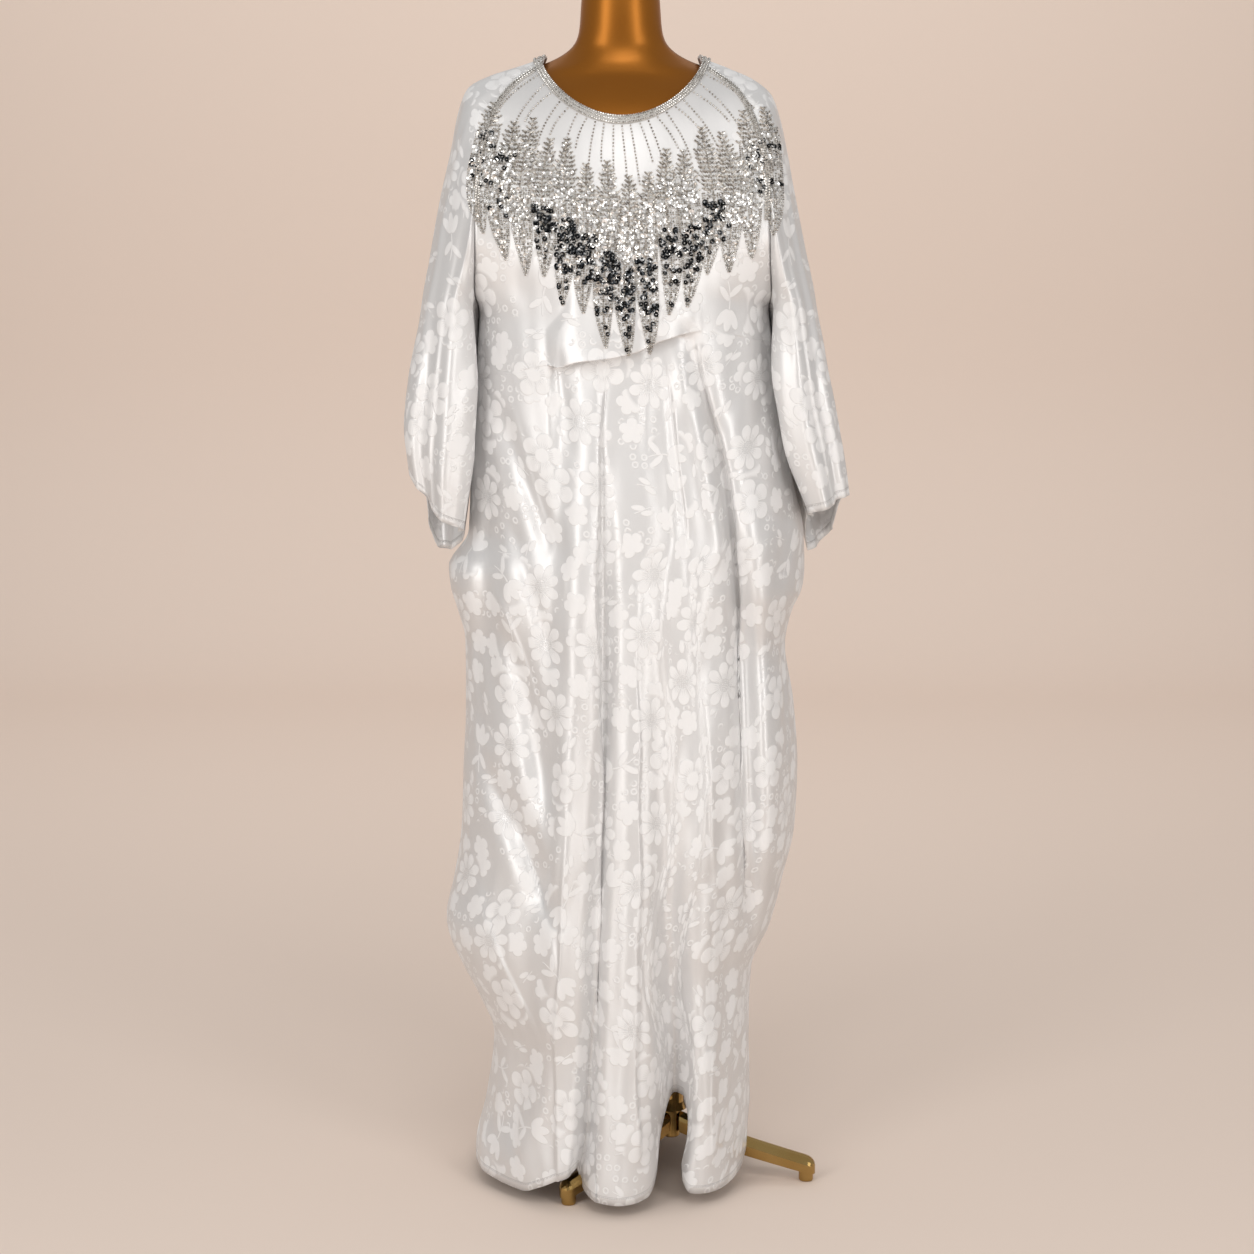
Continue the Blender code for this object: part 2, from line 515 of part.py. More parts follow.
def paint(part, finish_name):
    colour, roughness, metallic = COLOURS[finish_name]
    material = bpy.data.materials.new(part.name + "_" + finish_name)
    material.use_nodes = True
    shader = material.node_tree.nodes["Principled BSDF"]
    shader.inputs["Base Color"].default_value = colour
    shader.inputs["Roughness"].default_value = roughness
    shader.inputs["Metallic"].default_value = metallic
    part.data.materials.append(material)
    return part


def share_seam(panel_out, panel_corner, sleeve_out, sleeve_corner):
    """Give a panel and a sleeve the same facing along the smooth part of their seam."""
    both = unit(panel_out[:SMOOTH_SEAM, panel_corner] + sleeve_out[:SMOOTH_SEAM, sleeve_corner])
    panel_out[:SMOOTH_SEAM, panel_corner] = both
    sleeve_out[:SMOOTH_SEAM, sleeve_corner] = both


def cloth(name, points, normal):
    return paint(grid_body(name, points, points - normal * CLOTH), "satin")


def strip(name, edge, beyond, normal, closed=False):
    """A trim that lies on a panel, made from two lines of its points, moved out."""
    line = np.stack((edge, beyond))
    top, under = line + normal * (TRIM_LIFT + TRIM_THICK), line + normal * TRIM_LIFT
    return paint(grid_body(name, top, under, closed), "bead")


def make_dress():
    front, back = panel(-1, FRONT_COLUMNS), panel(1, BACK_COLUMNS)
    left, right = sleeve(SLEEVE_LEFT), sleeve(SLEEVE_RIGHT)
    front_out, back_out = facing(front, 1), facing(back, -1)
    left_out, right_out = facing(left, -1), facing(right, 1)
    for panel_out, sleeve_corner in ((front_out, 0), (back_out, -1)):
        share_seam(panel_out, 0, left_out, sleeve_corner)
        share_seam(panel_out, -1, right_out, sleeve_corner)
    pieces = [
        cloth("front_panel", front, front_out), cloth("back_panel", back, back_out),
        cloth("sleeve_left", left, left_out), cloth("sleeve_right", right, right_out),
    ]

    # The band goes round over front, right shoulder, back and left shoulder
    walk = ((front, front_out, 1), (right, right_out, 1), (back, back_out, -1), (left, left_out, -1))
    rings = [np.concatenate([grid[r][::way] for grid, _, way in walk]) for r in (0, 1)]
    normal = np.concatenate([(out[0] + out[1])[::way] for _, out, way in walk])
    for _ in range(4):
        normal = unit(np.roll(normal, 1, 0) + 2 * unit(normal) + np.roll(normal, -1, 0))
    pieces.append(strip("neck_band", rings[0], rings[1], normal, closed=True))

    for name, corner, inward in (("raglan_trim_left", 0, 1), ("raglan_trim_right", -1, -1)):
        edge, beyond = front[1:TRIM_ROWS, corner].copy(), front[1:TRIM_ROWS, corner + inward].copy()
        normal = unit(front_out[1:TRIM_ROWS, corner] + front_out[1:TRIM_ROWS, corner + inward])
        run = np.linalg.norm(beyond - edge, axis=-1, keepdims=True)
        beyond = edge + (beyond - edge) * TRIM_WIDE / run
        edge += (beyond - edge) * TRIM_INSET / TRIM_WIDE
        for line in (edge, beyond):
            line[0] += (line[1] - line[0]) * 2 * SEAM_GAP / np.linalg.norm(line[1] - line[0])
        pieces.append(strip(name, edge, beyond, normal))
    return pieces


def make_form(dress):
    """The torso, drawn in wherever it would touch the dress."""
    trees = []
    for part in dress:
        mesh = part.data
        places = [v.co for v in mesh.vertices]
        trees.append(BVHTree.FromPolygons(places, [p.vertices for p in mesh.polygons]))
    heights = column(TORSO, "z")
    fine_z = [a + (b - a) * k / 2 for a, b in zip(heights, heights[1:]) for k in (0, 1)] + heights[-1:]
    half, front, back, middle_y = (
        smooth(fine_z, heights, column(TORSO, name)) for name in Torso._fields[1:])
    fine_columns = TORSO_COLUMNS * 2
    points, room = [], []
    for r, z in enumerate(fine_z):
        for c in range(fine_columns):
            angle = 2 * math.pi * c / fine_columns
            sin, cos = math.sin(angle), math.cos(angle)
            x = TORSO_MID + half[r] * math.copysign(abs(sin) ** ROUNDNESS, sin)
            y = middle_y[r] - (front[r] if cos > 0 else back[r]) * math.copysign(abs(cos) ** ROUNDNESS, cos)
            centre = Vector((TORSO_SEE.x, TORSO_SEE.y, min(TORSO_SEE.z, z)))
            ray = Vector((x, y, z)) - centre
            hits = [tree.ray_cast(centre, ray.normalized()) for tree in trees]
            near = min((hit[3] for hit in hits if hit[3] is not None), default=10.0)
            points.append((centre, ray))
            room.append(min(1, (near - FORM_CLEAR) / ray.length))
    room = np.array(room).reshape(len(fine_z), fine_columns)
    padded = np.pad(room, ((1, 1), (0, 0)), mode="edge")
    tight = np.min([np.roll(padded[a:a + len(fine_z)], b, 1) for a in range(3) for b in (-1, 0, 1)], axis=0)
    body = bmesh.new()
    rings = []
    for r in range(0, len(fine_z), 2):
        ring = []
        for c in range(0, fine_columns, 2):
            centre, ray = points[r * fine_columns + c]
            point = centre + ray * tight[r, c]
            if r == 0:
                point.z = TORSO_FOOT_Z
            ring.append(body.verts.new(point))
        rings.append(ring)
    for low, high in zip(rings, rings[1:]):
        for i in range(TORSO_COLUMNS):
            j = (i + 1) % TORSO_COLUMNS
            body.faces.new((low[i], low[j], high[j], high[i]))
    body.faces.new(rings[0])
    body.faces.new(rings[-1])
    bmesh.ops.triangulate(body, faces=body.faces[:])
    bmesh.ops.recalc_face_normals(body, faces=body.faces[:])
    return paint(finish("form_body", body), "bronze")


def turned(name, profile, sides):
    """A turned piece on the post's axis, from (radius, height) pairs, top to bottom."""
    body = bmesh.new()
    line = [body.verts.new((radius, 0, z)) for radius, z in profile]
    edges = [body.edges.new(pair) for pair in zip(line, line[1:])]
    bmesh.ops.spin(body, geom=line + edges, cent=(0, 0, 0), axis=(0, 0, 1), angle=2 * math.pi, steps=sides,
                   use_merge=True)
    bmesh.ops.remove_doubles(body, verts=body.verts[:], dist=1e-6)
    bmesh.ops.recalc_face_normals(body, faces=body.faces[:])
    part = finish(name, body)
    part.location = (POST_X, POST_Y, 0)
    return paint(part, "brass")


def make_stand():
    top = TORSO_FOOT_Z - SEAM_GAP
    turned("pole", (
        (0, top), (FLANGE_RADIUS, top), (FLANGE_RADIUS, top - FLANGE_THICK),
        (POST_RADIUS + 0.004, top - 0.008),
        (POST_RADIUS, top - 0.020), (POST_RADIUS, HUB_TOP + SEAM_GAP), (0, HUB_TOP + SEAM_GAP)), 16)
    turned("hub", (
        (0, HUB_TOP), (HUB_RADIUS - 0.002, HUB_TOP), (HUB_RADIUS, HUB_TOP - 0.002),
        (HUB_RADIUS, HUB_SKIRT_Z + 0.010),
        (HUB_RADIUS + 0.003, HUB_SKIRT_Z), (HUB_FOOT_RADIUS, HUB_SKIRT_Z - 0.001),
        (HUB_FOOT_RADIUS, HUB_FOOT + 0.002), (HUB_FOOT_RADIUS - 0.002, HUB_FOOT), (0, HUB_FOOT)), 20)

    screw = bmesh.new()
    bmesh.ops.create_cone(screw, cap_ends=True, segments=12, radius1=SCREW_RADIUS, radius2=SCREW_RADIUS,
                          depth=0.004)
    part = paint(finish("set_screw", screw), "brass")
    part.rotation_euler = (math.radians(90), 0, 0)
    part.location = (POST_X - 0.0025, POST_Y - HUB_RADIUS - 0.002 - SEAM_GAP, SCREW_Z)

    for name, heading in LEGS.items():
        make_leg(name, math.radians(heading))


def make_leg(name, heading):
    """A cast leg: flat sides and base, a half-round back, a round end with a foot under it."""
    half = LEG_WIDE / 2
    stations = 9
    arc = 6
    body = bmesh.new()
    rings = []
    tip_centre = LEG_REACH - half
    for i in range(stations + 5):
        if i < stations:
            out = LEG_START + (tip_centre - LEG_START) * i / (stations - 1)
            close = 1.0
        else:
            bend = math.radians((i - stations + 1) * 17)
            out = tip_centre + half * math.sin(bend)
            close = math.cos(bend)
        share = (out - LEG_START) / (LEG_REACH - LEG_START)
        slope = share ** 0.85
        top = LEG_ROOT_TOP + (LEG_TIP_TOP - LEG_ROOT_TOP) * slope
        deep = LEG_ROOT_DEEP + (LEG_TIP_DEEP - LEG_ROOT_DEEP) * share
        wide = half * (0.86 + 0.14 * share) * close
        round_deep = half * 0.85 * close
        top -= half * 0.85 * (1 - close)
        ring = []
        for k in range(arc + 1):
            turn = math.pi * k / arc
            ring.append((out, wide * math.cos(turn), top - round_deep + round_deep * math.sin(turn)))
        base = LEG_ROOT_TOP + (LEG_TIP_TOP - LEG_ROOT_TOP) * slope - deep
        ring.append((out, -wide * 0.9, base))
        ring.append((out, wide * 0.9, base))
        rings.append([body.verts.new(point) for point in ring])
    for near, far in zip(rings, rings[1:]):
        for k in range(len(near)):
            m = (k + 1) % len(near)
            body.faces.new((near[k], near[m], far[m], far[k]))
    body.faces.new(rings[0])
    body.faces.new(rings[-1])
    bmesh.ops.triangulate(body, faces=body.faces[:])
    bmesh.ops.recalc_face_normals(body, faces=body.faces[:])
    leg = finish(name, body)

    foot = bmesh.new()
    tall = LEG_TIP_TOP - 0.008
    bmesh.ops.create_cone(foot, cap_ends=True, segments=16, radius1=FOOT_RADIUS, radius2=FOOT_RADIUS,
                          depth=tall)
    bmesh.ops.translate(foot, verts=foot.verts[:], vec=(tip_centre, 0, tall / 2))
    low = [edge for edge in foot.edges if all(v.co.z < 1e-5 for v in edge.verts)]
    bmesh.ops.bevel(foot, geom=low, offset=FOOT_ROUND, segments=2, profile=0.5, affect="EDGES", material=-1)
    shape = finish(name + "_foot", foot)
    join = leg.modifiers.new("foot", "BOOLEAN")
    join.operation = "UNION"
    join.object = shape
    shape.hide_render = True
    shape.display_type = "WIRE"
    for part in (leg, shape):
        part.location = (POST_X, POST_Y, 0)
        part.rotation_euler = (0, 0, heading)
    paint(leg, "brass")


for leftover in list(bpy.data.objects):
    bpy.data.objects.remove(leftover, do_unlink=True)
make_form(make_dress())
make_stand()
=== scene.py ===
import math
import random
from collections import namedtuple

import bmesh
import bpy
import numpy as np
from mathutils import Matrix, Vector, noise
from mathutils.bvhtree import BVHTree


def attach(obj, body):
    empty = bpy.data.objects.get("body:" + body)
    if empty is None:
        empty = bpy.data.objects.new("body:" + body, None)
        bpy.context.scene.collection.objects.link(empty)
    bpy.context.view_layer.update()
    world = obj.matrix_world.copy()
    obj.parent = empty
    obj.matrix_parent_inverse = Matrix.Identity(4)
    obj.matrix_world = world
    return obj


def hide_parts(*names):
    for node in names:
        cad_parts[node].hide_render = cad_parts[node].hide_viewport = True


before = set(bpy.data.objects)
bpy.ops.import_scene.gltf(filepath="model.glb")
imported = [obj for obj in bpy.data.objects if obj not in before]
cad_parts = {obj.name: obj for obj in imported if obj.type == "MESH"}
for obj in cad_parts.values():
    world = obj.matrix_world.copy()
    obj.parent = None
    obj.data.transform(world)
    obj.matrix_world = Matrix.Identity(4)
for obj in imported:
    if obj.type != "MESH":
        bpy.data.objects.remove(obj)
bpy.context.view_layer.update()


# The camera stands at chest height in front of the dress and looks a little down at it. The
# studio is one warm sheet of paper that runs from the floor up behind the stand, under soft boxes.
FOCAL_PX = 2663
FRAME_PX = 1254
LOOK_DOWN = 8.04
lens = bpy.data.cameras.new("camera")
lens.sensor_width = 36
lens.lens = 36 * FOCAL_PX / FRAME_PX
camera = bpy.data.objects.new("camera", lens)
bpy.context.scene.collection.objects.link(camera)
camera.location = (0, -3.4, 1.2)
camera.rotation_euler = (math.radians(90 - LOOK_DOWN), 0, 0)
bpy.context.scene.camera = camera
bpy.context.scene.view_settings.view_transform = "Standard"


class Wire:
    """A value in a material. Arithmetic on it adds Math nodes."""

    def __init__(self, tree, socket=None):
        self.tree = tree
        self.socket = socket

    def node(self, kind, sockets=None, output=0, stops=None, **settings):
        made = self.tree.nodes.new(kind)
        for name, value in settings.items():
            setattr(made, name, value)
        if stops:
            ramp = made.color_ramp.elements
            while len(ramp) < len(stops):
                ramp.new(1)
            for element, (place, colour) in zip(ramp, stops):
                element.position, element.color = place, (*colour, 1)
        for name, value in (sockets or {}).items():
            if isinstance(value, Wire):
                self.tree.links.new(value.socket, made.inputs[name])
            else:
                made.inputs[name].default_value = value
        return Wire(self.tree, made.outputs[output])

    def math(self, operation, *values, clamp=False):
        return self.node("ShaderNodeMath", dict(enumerate(values)), operation=operation, use_clamp=clamp)

    def __add__(self, other):
        return self.math("ADD", self, other)

    def __sub__(self, other):
        return self.math("SUBTRACT", self, other)

    def __rsub__(self, other):
        return self.math("SUBTRACT", other, self)

    def __mul__(self, other):
        return self.math("MULTIPLY", self, other)

    def __truediv__(self, other):
        return self.math("DIVIDE", self, other)

    def __pow__(self, other):
        return self.math("POWER", self, other)

    __radd__, __rmul__ = __add__, __mul__

    def below(self, edge, soft):
        """1 where the value is under the edge, 0 above it."""
        return self.math("MULTIPLY", edge - self, 1 / soft, clamp=True)

    def flat_colour(self, *rgb):
        made = self.node("ShaderNodeRGB")
        made.socket.default_value = (*rgb, 1)
        return made

    def parts(self, count=2):
        """The first numbers of this vector."""
        return [self.node("ShaderNodeSeparateXYZ", {0: self}, k) for k in range(count)]

    def colour(self, other, factor):
        """This colour, mixed towards the other one."""
        return self.node("ShaderNodeMix", {0: factor, 6: self, 7: other}, 2, data_type="RGBA")


def finish_of(name, **sockets):
    """A new material, its shader, and a start for its wires; the numbers are set on the shader."""
    material = bpy.data.materials.new(name)
    material.use_nodes = True
    shader = material.node_tree.nodes["Principled BSDF"]
    for socket, value in sockets.items():
        shader.inputs[socket.replace("_", " ")].default_value = value
    return material, shader, Wire(material.node_tree)


def connect(wire, shader, socket):
    wire.tree.links.new(wire.socket, shader.inputs[socket])


def placed(name, data):
    made = bpy.data.objects.new(name, data)
    bpy.context.scene.collection.objects.link(made)
    return made


def piece_of(name, body, material):
    """A finished bmesh as a smooth-shaded object in the scene."""
    mesh = bpy.data.meshes.new(name)
    body.to_mesh(mesh)
    body.free()
    mesh.shade_smooth()
    mesh.materials.append(material)
    return placed(name, mesh)


def speckled(wire, scale, detail):
    """Fine noise in the piece's own metres."""
    place = wire.node("ShaderNodeTexCoord", output=3)
    return wire.node("ShaderNodeTexNoise", {"Vector": place, "Scale": scale, "Detail": detail})


def speckled_finish(name, scale, detail, stops, **sockets):
    """A finish whose colour runs through the stops with a fine noise; the noise comes back as well."""
    material, shader, wire = finish_of(name, **sockets)
    speck = speckled(wire, scale, detail)
    connect(wire.node("ShaderNodeValToRGB", {0: speck}, stops=stops), shader, "Base Color")
    return material, shader, speck


SWEEP_HALF = 6.0
SWEEP_LONG = 14.0
SWEEP_FRONT = 6.0
SWEEP_BACK = 4.7
SWEEP_BEND = 0.9
flat_end = SWEEP_BACK - SWEEP_BEND
arc = SWEEP_BEND * math.pi / 2
sweep_mesh = bmesh.new()
bmesh.ops.create_grid(sweep_mesh, x_segments=8, y_segments=84, size=1)
for vert in sweep_mesh.verts:
    along = (vert.co.y + 1) / 2 * SWEEP_LONG - SWEEP_FRONT
    if along < flat_end:
        y, z = along, 0.0
    elif along < flat_end + arc:
        turn = (along - flat_end) / SWEEP_BEND
        y, z = flat_end + SWEEP_BEND * math.sin(turn), SWEEP_BEND * (1 - math.cos(turn))
    else:
        y, z = SWEEP_BACK, SWEEP_BEND + along - flat_end - arc
    vert.co = (vert.co.x * SWEEP_HALF, y, z)
paper, paper_shader, wire = finish_of("warm_paper", Roughness=0.9, Specular_IOR_Level=0.1)
grain = wire.node("ShaderNodeTexNoise", {"Scale": 3.0, "Detail": 4.0})
cool = wire.flat_colour(0.825, 0.700, 0.614)
connect(cool.colour((0.845, 0.718, 0.632, 1), grain), paper_shader, "Base Color")
piece_of("paper_sweep", sweep_mesh, paper)


def soft_box(name, place, aim, wide, tall, power):
    light = bpy.data.lights.new(name, "AREA")
    light.shape = "RECTANGLE"
    light.size, light.size_y = wide, tall
    light.energy, light.color = power, (1, 0.985, 0.965)
    box = placed(name, light)
    box.location = place
    box.rotation_euler = (Vector(aim) - Vector(place)).to_track_quat("-Z", "Y").to_euler()


soft_box("key_box", (-1.60, -2.40, 1.3), (0, 0, 0.62), 0.9, 2.5, 28)
soft_box("fill_box", (1.65, -2.40, 1.2), (0, 0, 0.6), 0.8, 2.4, 23)
soft_box("top_box", (0.12, -2.1, 3.0), (0, 0, 0.9), 1.0, 0.7, 13)
soft_box("paper_box", (0.0, 1.9, 3.7), (0, 4.3, 1.2), 4.6, 1.5, 50)
world = bpy.data.worlds.new("studio")
world.use_nodes = True
backdrop = world.node_tree.nodes["Background"].inputs
backdrop["Color"].default_value = (0.98, 0.975, 0.97, 1)
backdrop["Strength"].default_value = 0.48
bpy.context.scene.world = world


# The front panel is one length of white jacquard silk satin from the neckline to the hem. It
# hangs from the raglan seams, with one tuck under the bust and long folds down to a rolled hem.
SEAM_GAP = 0.0003
TUCK_STEP = 0.013
BAND_ROW = 0.38
RAGLAN_ROWS = 9
LIP_ROW = 10
ROOT_ROW = 11
CUFF_ROW = 13
HEM_ROW = 30
MIDDLE_CROWDING = 0.22
FOLD_END = 0.06
FOLD_DEEPER = 0.18
SEAM_FADE = 0.45
TUCK_FADE_UP = 0.07
TUCK_FADE_DOWN = 0.16
TUCK_MID_Z = 1.07
HEM_MID_Z = 0.03
EDGE_BLEND = 1.6
SILK = 0.0009
SLEEVE_FLATNESS = 0.32
SLEEVE_LAP = 0.022
LAP_TURN = -128
LAP_WIDE = 22
LAP_LOSS_AT_CUFF = 0.35
SEAM_RAISE = 0.020
SEAM_RAISE_WIDE = 0.28
ROW_OF_RAISE = 5
CUT_TOP_Z = 1.44
NECK_MID = -0.006
NECK_HALF = 0.100
NECK_SIDE_Z = 1.440
NECK_SIDE_Y = 0.010
NECK_REACH = 0.078
FRONT_DROP = 0.076
BACK_DROP = 0.014
NECK_CORNER = math.radians(80)
NECK_CORNER_DROP = 0.009
NECK_ROUND = 1.4



def rows_of(kind, *rows):
    return [kind(*row) for row in rows]


Section = namedtuple("Section", "z left right front back square")
BODY = rows_of(
    Section,
    (0.000, -0.196, 0.164, 0.184, 0.186, 2.1),
    (0.040, -0.197, 0.163, 0.182, 0.184, 2.1),
    (0.100, -0.185, 0.162, 0.178, 0.180, 2.1),
    (0.190, -0.174, 0.160, 0.172, 0.174, 2.2),
    (0.240, -0.192, 0.160, 0.170, 0.170, 2.2),
    (0.280, -0.213, 0.163, 0.168, 0.168, 2.2),
    (0.340, -0.236, 0.188, 0.165, 0.165, 2.2),
    (0.395, -0.225, 0.202, 0.162, 0.162, 2.2),
    (0.460, -0.215, 0.217, 0.160, 0.159, 2.3),
    (0.540, -0.212, 0.221, 0.157, 0.155, 2.3),
    (0.630, -0.207, 0.214, 0.153, 0.151, 2.3),
    (0.705, -0.2075, 0.203, 0.151, 0.148, 2.3),
    (0.745, -0.2170, 0.212, 0.150, 0.146, 2.3),
    (0.775, -0.2265, 0.226, 0.149, 0.144, 2.3),
    (0.800, -0.2290, 0.228, 0.148, 0.142, 2.3),
    (0.845, -0.2025, 0.226, 0.147, 0.140, 2.3),
    (0.915, -0.1990, 0.2102, 0.143, 0.135, 2.3),
    (1.000, -0.1930, 0.1945, 0.139, 0.130, 2.3),
    (1.080, -0.1882, 0.1832, 0.138, 0.126, 2.3),
    (1.160, -0.185, 0.176, 0.139, 0.124, 2.3),
    (1.230, -0.186, 0.178, 0.130, 0.123, 2.3),
    (1.300, -0.184, 0.175, 0.108, 0.116, 2.3),
    (1.350, -0.178, 0.170, 0.088, 0.104, 2.2),
    (1.390, -0.165, 0.158, 0.066, 0.085, 2.2),
    (1.420, -0.150, 0.140, 0.042, 0.060, 2.2),
    (1.440, -0.125, 0.115, 0.022, 0.035, 2.2),
)

Ring = namedtuple("Ring", "row ridge_x ridge_z mid_x mid_z inner_x inner_z front back wrap")
SLEEVE_LEFT = rows_of(
    Ring,
    (0, -0.1000, 1.440, -0.1085, 1.4230, -0.1085, 1.4230, 0.0266, 0.0266, 62),
    (1, -0.140, 1.427, -0.1193, 1.4063, -0.1193, 1.4063, 0.0374, 0.0408, 62),
    (2, -0.173, 1.416, -0.1410, 1.3772, -0.1410, 1.3772, 0.0558, 0.0613, 66),
    (3, -0.198, 1.402, -0.1570, 1.3427, -0.1570, 1.3427, 0.0713, 0.0766, 70),
    (4, -0.212, 1.368, -0.1711, 1.3139, -0.1711, 1.3139, 0.0855, 0.0876, 76),
    (5, -0.220, 1.325, -0.1832, 1.2859, -0.1820, 1.2859, 0.0935, 0.0925, 84),
    (6, -0.230, 1.282, -0.191, 1.254, -0.174, 1.240, 0.099, 0.096, 104),
    (7, -0.240, 1.235, -0.200, 1.210, -0.178, 1.190, 0.102, 0.098, 126),
    (8, -0.248, 1.186, -0.210, 1.166, -0.1835, 1.150, 0.104, 0.099, 152),
    (9, -0.256, 1.139, -0.220, 1.126, -0.1867, 1.115, 0.105, 0.100, 180),
    (10, -0.266, 1.060, -0.227, 1.050, -0.1914, 1.045, 0.106, 0.098, 180),
    (11, -0.275, 1.000, -0.232, 0.985, -0.1953, 0.975, 0.107, 0.094, 180),
    (12, -0.281, 0.970, -0.237, 0.930, -0.2000, 0.910, 0.106, 0.088, 180),
    (13, -0.274, 0.945, -0.236, 0.872, -0.2085, 0.847, 0.102, 0.080, 180),
)
SLEEVE_RIGHT = rows_of(
    Ring,
    (0, 0.0885, 1.440, 0.0960, 1.4230, 0.0960, 1.4230, 0.0266, 0.0266, 62),
    (1, 0.126, 1.427, 0.1015, 1.4100, 0.1015, 1.4100, 0.0374, 0.0408, 62),
    (2, 0.158, 1.413, 0.1260, 1.3860, 0.1260, 1.3860, 0.0558, 0.0613, 66),
    (3, 0.181, 1.394, 0.1445, 1.3515, 0.1445, 1.3515, 0.0713, 0.0766, 70),
    (4, 0.192, 1.362, 0.1617, 1.3198, 0.1617, 1.3198, 0.0845, 0.0876, 76),
    (5, 0.200, 1.324, 0.1732, 1.2905, 0.1720, 1.2905, 0.0925, 0.0925, 84),
    (6, 0.208, 1.282, 0.1795, 1.256, 0.163, 1.240, 0.098, 0.096, 104),
    (7, 0.217, 1.235, 0.189, 1.212, 0.167, 1.190, 0.102, 0.098, 126),
    (8, 0.227, 1.186, 0.199, 1.167, 0.174, 1.150, 0.104, 0.099, 152),
    (9, 0.236, 1.139, 0.210, 1.126, 0.1800, 1.115, 0.105, 0.100, 180),
    (10, 0.248, 1.075, 0.218, 1.055, 0.1878, 1.045, 0.106, 0.098, 180),
    (11, 0.258, 1.010, 0.228, 0.990, 0.1985, 0.970, 0.106, 0.094, 180),
    (12, 0.270, 0.950, 0.241, 0.930, 0.2110, 0.915, 0.104, 0.088, 180),
    (13, 0.280, 0.903, 0.255, 0.880, 0.2300, 0.867, 0.100, 0.080, 180),
)
Cuff = namedtuple("Cuff", "turn left_z right_z")
CUFF = rows_of(
    Cuff,
    (-180, 0.846, 0.866), (-135, 0.853, 0.873), (-90, 0.871, 0.884),
    (-50, 0.903, 0.894), (0, 0.950, 0.900), (36, 0.880, 0.845),
    (60, 0.836, 0.838), (76, 0.813, 0.830), (105, 0.812, 0.819), (143, 0.824, 0.813),
    (180, 0.846, 0.866),
)
SleeveFold = namedtuple("SleeveFold", "turn wide top_depth cuff_depth")
SLEEVE_FOLDS = rows_of(
    SleeveFold,
    (-150, 22, 0.0, -0.007), (-112, 16, 0.0, 0.006),
    (-62, 18, 0.0, -0.010), (-30, 14, 0.002, 0.006),
    (34, 18, 0.0, -0.010), (78, 20, 0.0, 0.007),
    (118, 20, 0.0, -0.009), (-99, 6, 0.001, 0.0045), (-84, 5, 0.0, -0.004),
    (-47, 6, 0.001, 0.005), (-22, 6, 0.0, -0.004), (55, 7, 0.0, 0.004),
)

Knot = namedtuple("Knot", "z x depth")


class Fold:
    """A line down the cloth: how wide it is, and its place and depth at knots from the top down."""

    def __init__(self, name, wide, *knots):
        self.name = name
        self.wide = wide
        self.path = [Knot(*knot) for knot in knots]


FRONT_FOLDS = (
    Fold("main ridge", 0.022, (1.06, -0.047, 0.003), (0.85, -0.060, 0.012), (0.60, -0.071, 0.016),
         (0.35, -0.085, 0.018), (0.15, -0.110, 0.012), (0.05, -0.150, 0.004)),
    Fold("main valley", 0.011, (0.98, -0.030, 0.0), (0.72, -0.028, -0.013), (0.45, -0.036, -0.020),
         (0.20, -0.047, -0.030), (0.02, -0.055, -0.042)),
    Fold("middle lobe", 0.030, (0.90, 0.004, 0.002), (0.50, -0.002, 0.010), (0.02, -0.012, 0.020)),
    Fold("arch pleat", 0.019, (0.75, 0.040, 0.0), (0.45, 0.048, -0.010), (0.16, 0.060, -0.046),
         (0.02, 0.058, -0.080)),
    Fold("right lobe", 0.026, (0.80, 0.085, 0.004), (0.40, 0.096, 0.010), (0.02, 0.108, 0.018)),
    Fold("side valley", 0.013, (1.12, 0.070, 0.0), (1.05, 0.092, -0.010), (0.90, 0.128, -0.017),
         (0.70, 0.148, -0.026), (0.45, 0.156, -0.022), (0.25, 0.160, 0.0)),
    Fold("side roll", 0.020, (1.00, 0.150, 0.002), (0.70, 0.182, 0.014), (0.45, 0.186, 0.010),
         (0.32, 0.180, 0.0)),
    Fold("upper diagonal", 0.014, (1.03, -0.168, 0.0), (0.95, -0.135, -0.009), (0.88, -0.108, -0.009),
         (0.80, -0.082, 0.0)),
    Fold("middle diagonal", 0.016, (0.76, -0.165, 0.0), (0.67, -0.130, -0.010), (0.57, -0.108, -0.008),
         (0.50, -0.095, 0.0)),
    Fold("lower diagonal", 0.016, (0.58, -0.185, 0.0), (0.50, -0.150, -0.012), (0.43, -0.118, -0.010),
         (0.36, -0.095, 0.0)),
    Fold("left edge roll", 0.018, (1.02, -0.172, 0.0), (0.80, -0.176, -0.012), (0.65, -0.186, -0.008),
         (0.55, -0.190, 0.0)),
    Fold("low swoop", 0.020, (0.24, -0.105, 0.0), (0.14, -0.128, -0.014), (0.05, -0.165, -0.008)),
    Fold("bodice drape", 0.030, (1.28, -0.135, 0.0), (1.16, -0.120, -0.008), (1.08, -0.105, 0.0)),
)
BACK_FOLDS = (
    Fold("left drape", 0.028, (1.20, -0.120, 0.0), (0.80, -0.135, 0.014), (0.02, -0.140, 0.022)),
    Fold("left hollow", 0.026, (1.10, -0.070, 0.0), (0.70, -0.078, -0.014), (0.02, -0.085, -0.026)),
    Fold("middle drape", 0.030, (1.25, -0.010, 0.0), (0.80, -0.015, 0.010), (0.02, -0.022, 0.020)),
    Fold("right hollow", 0.026, (1.10, 0.050, 0.0), (0.70, 0.050, -0.014), (0.02, 0.046, -0.028)),
    Fold("right drape", 0.028, (1.20, 0.105, 0.0), (0.80, 0.112, 0.014), (0.02, 0.108, 0.020)),
)
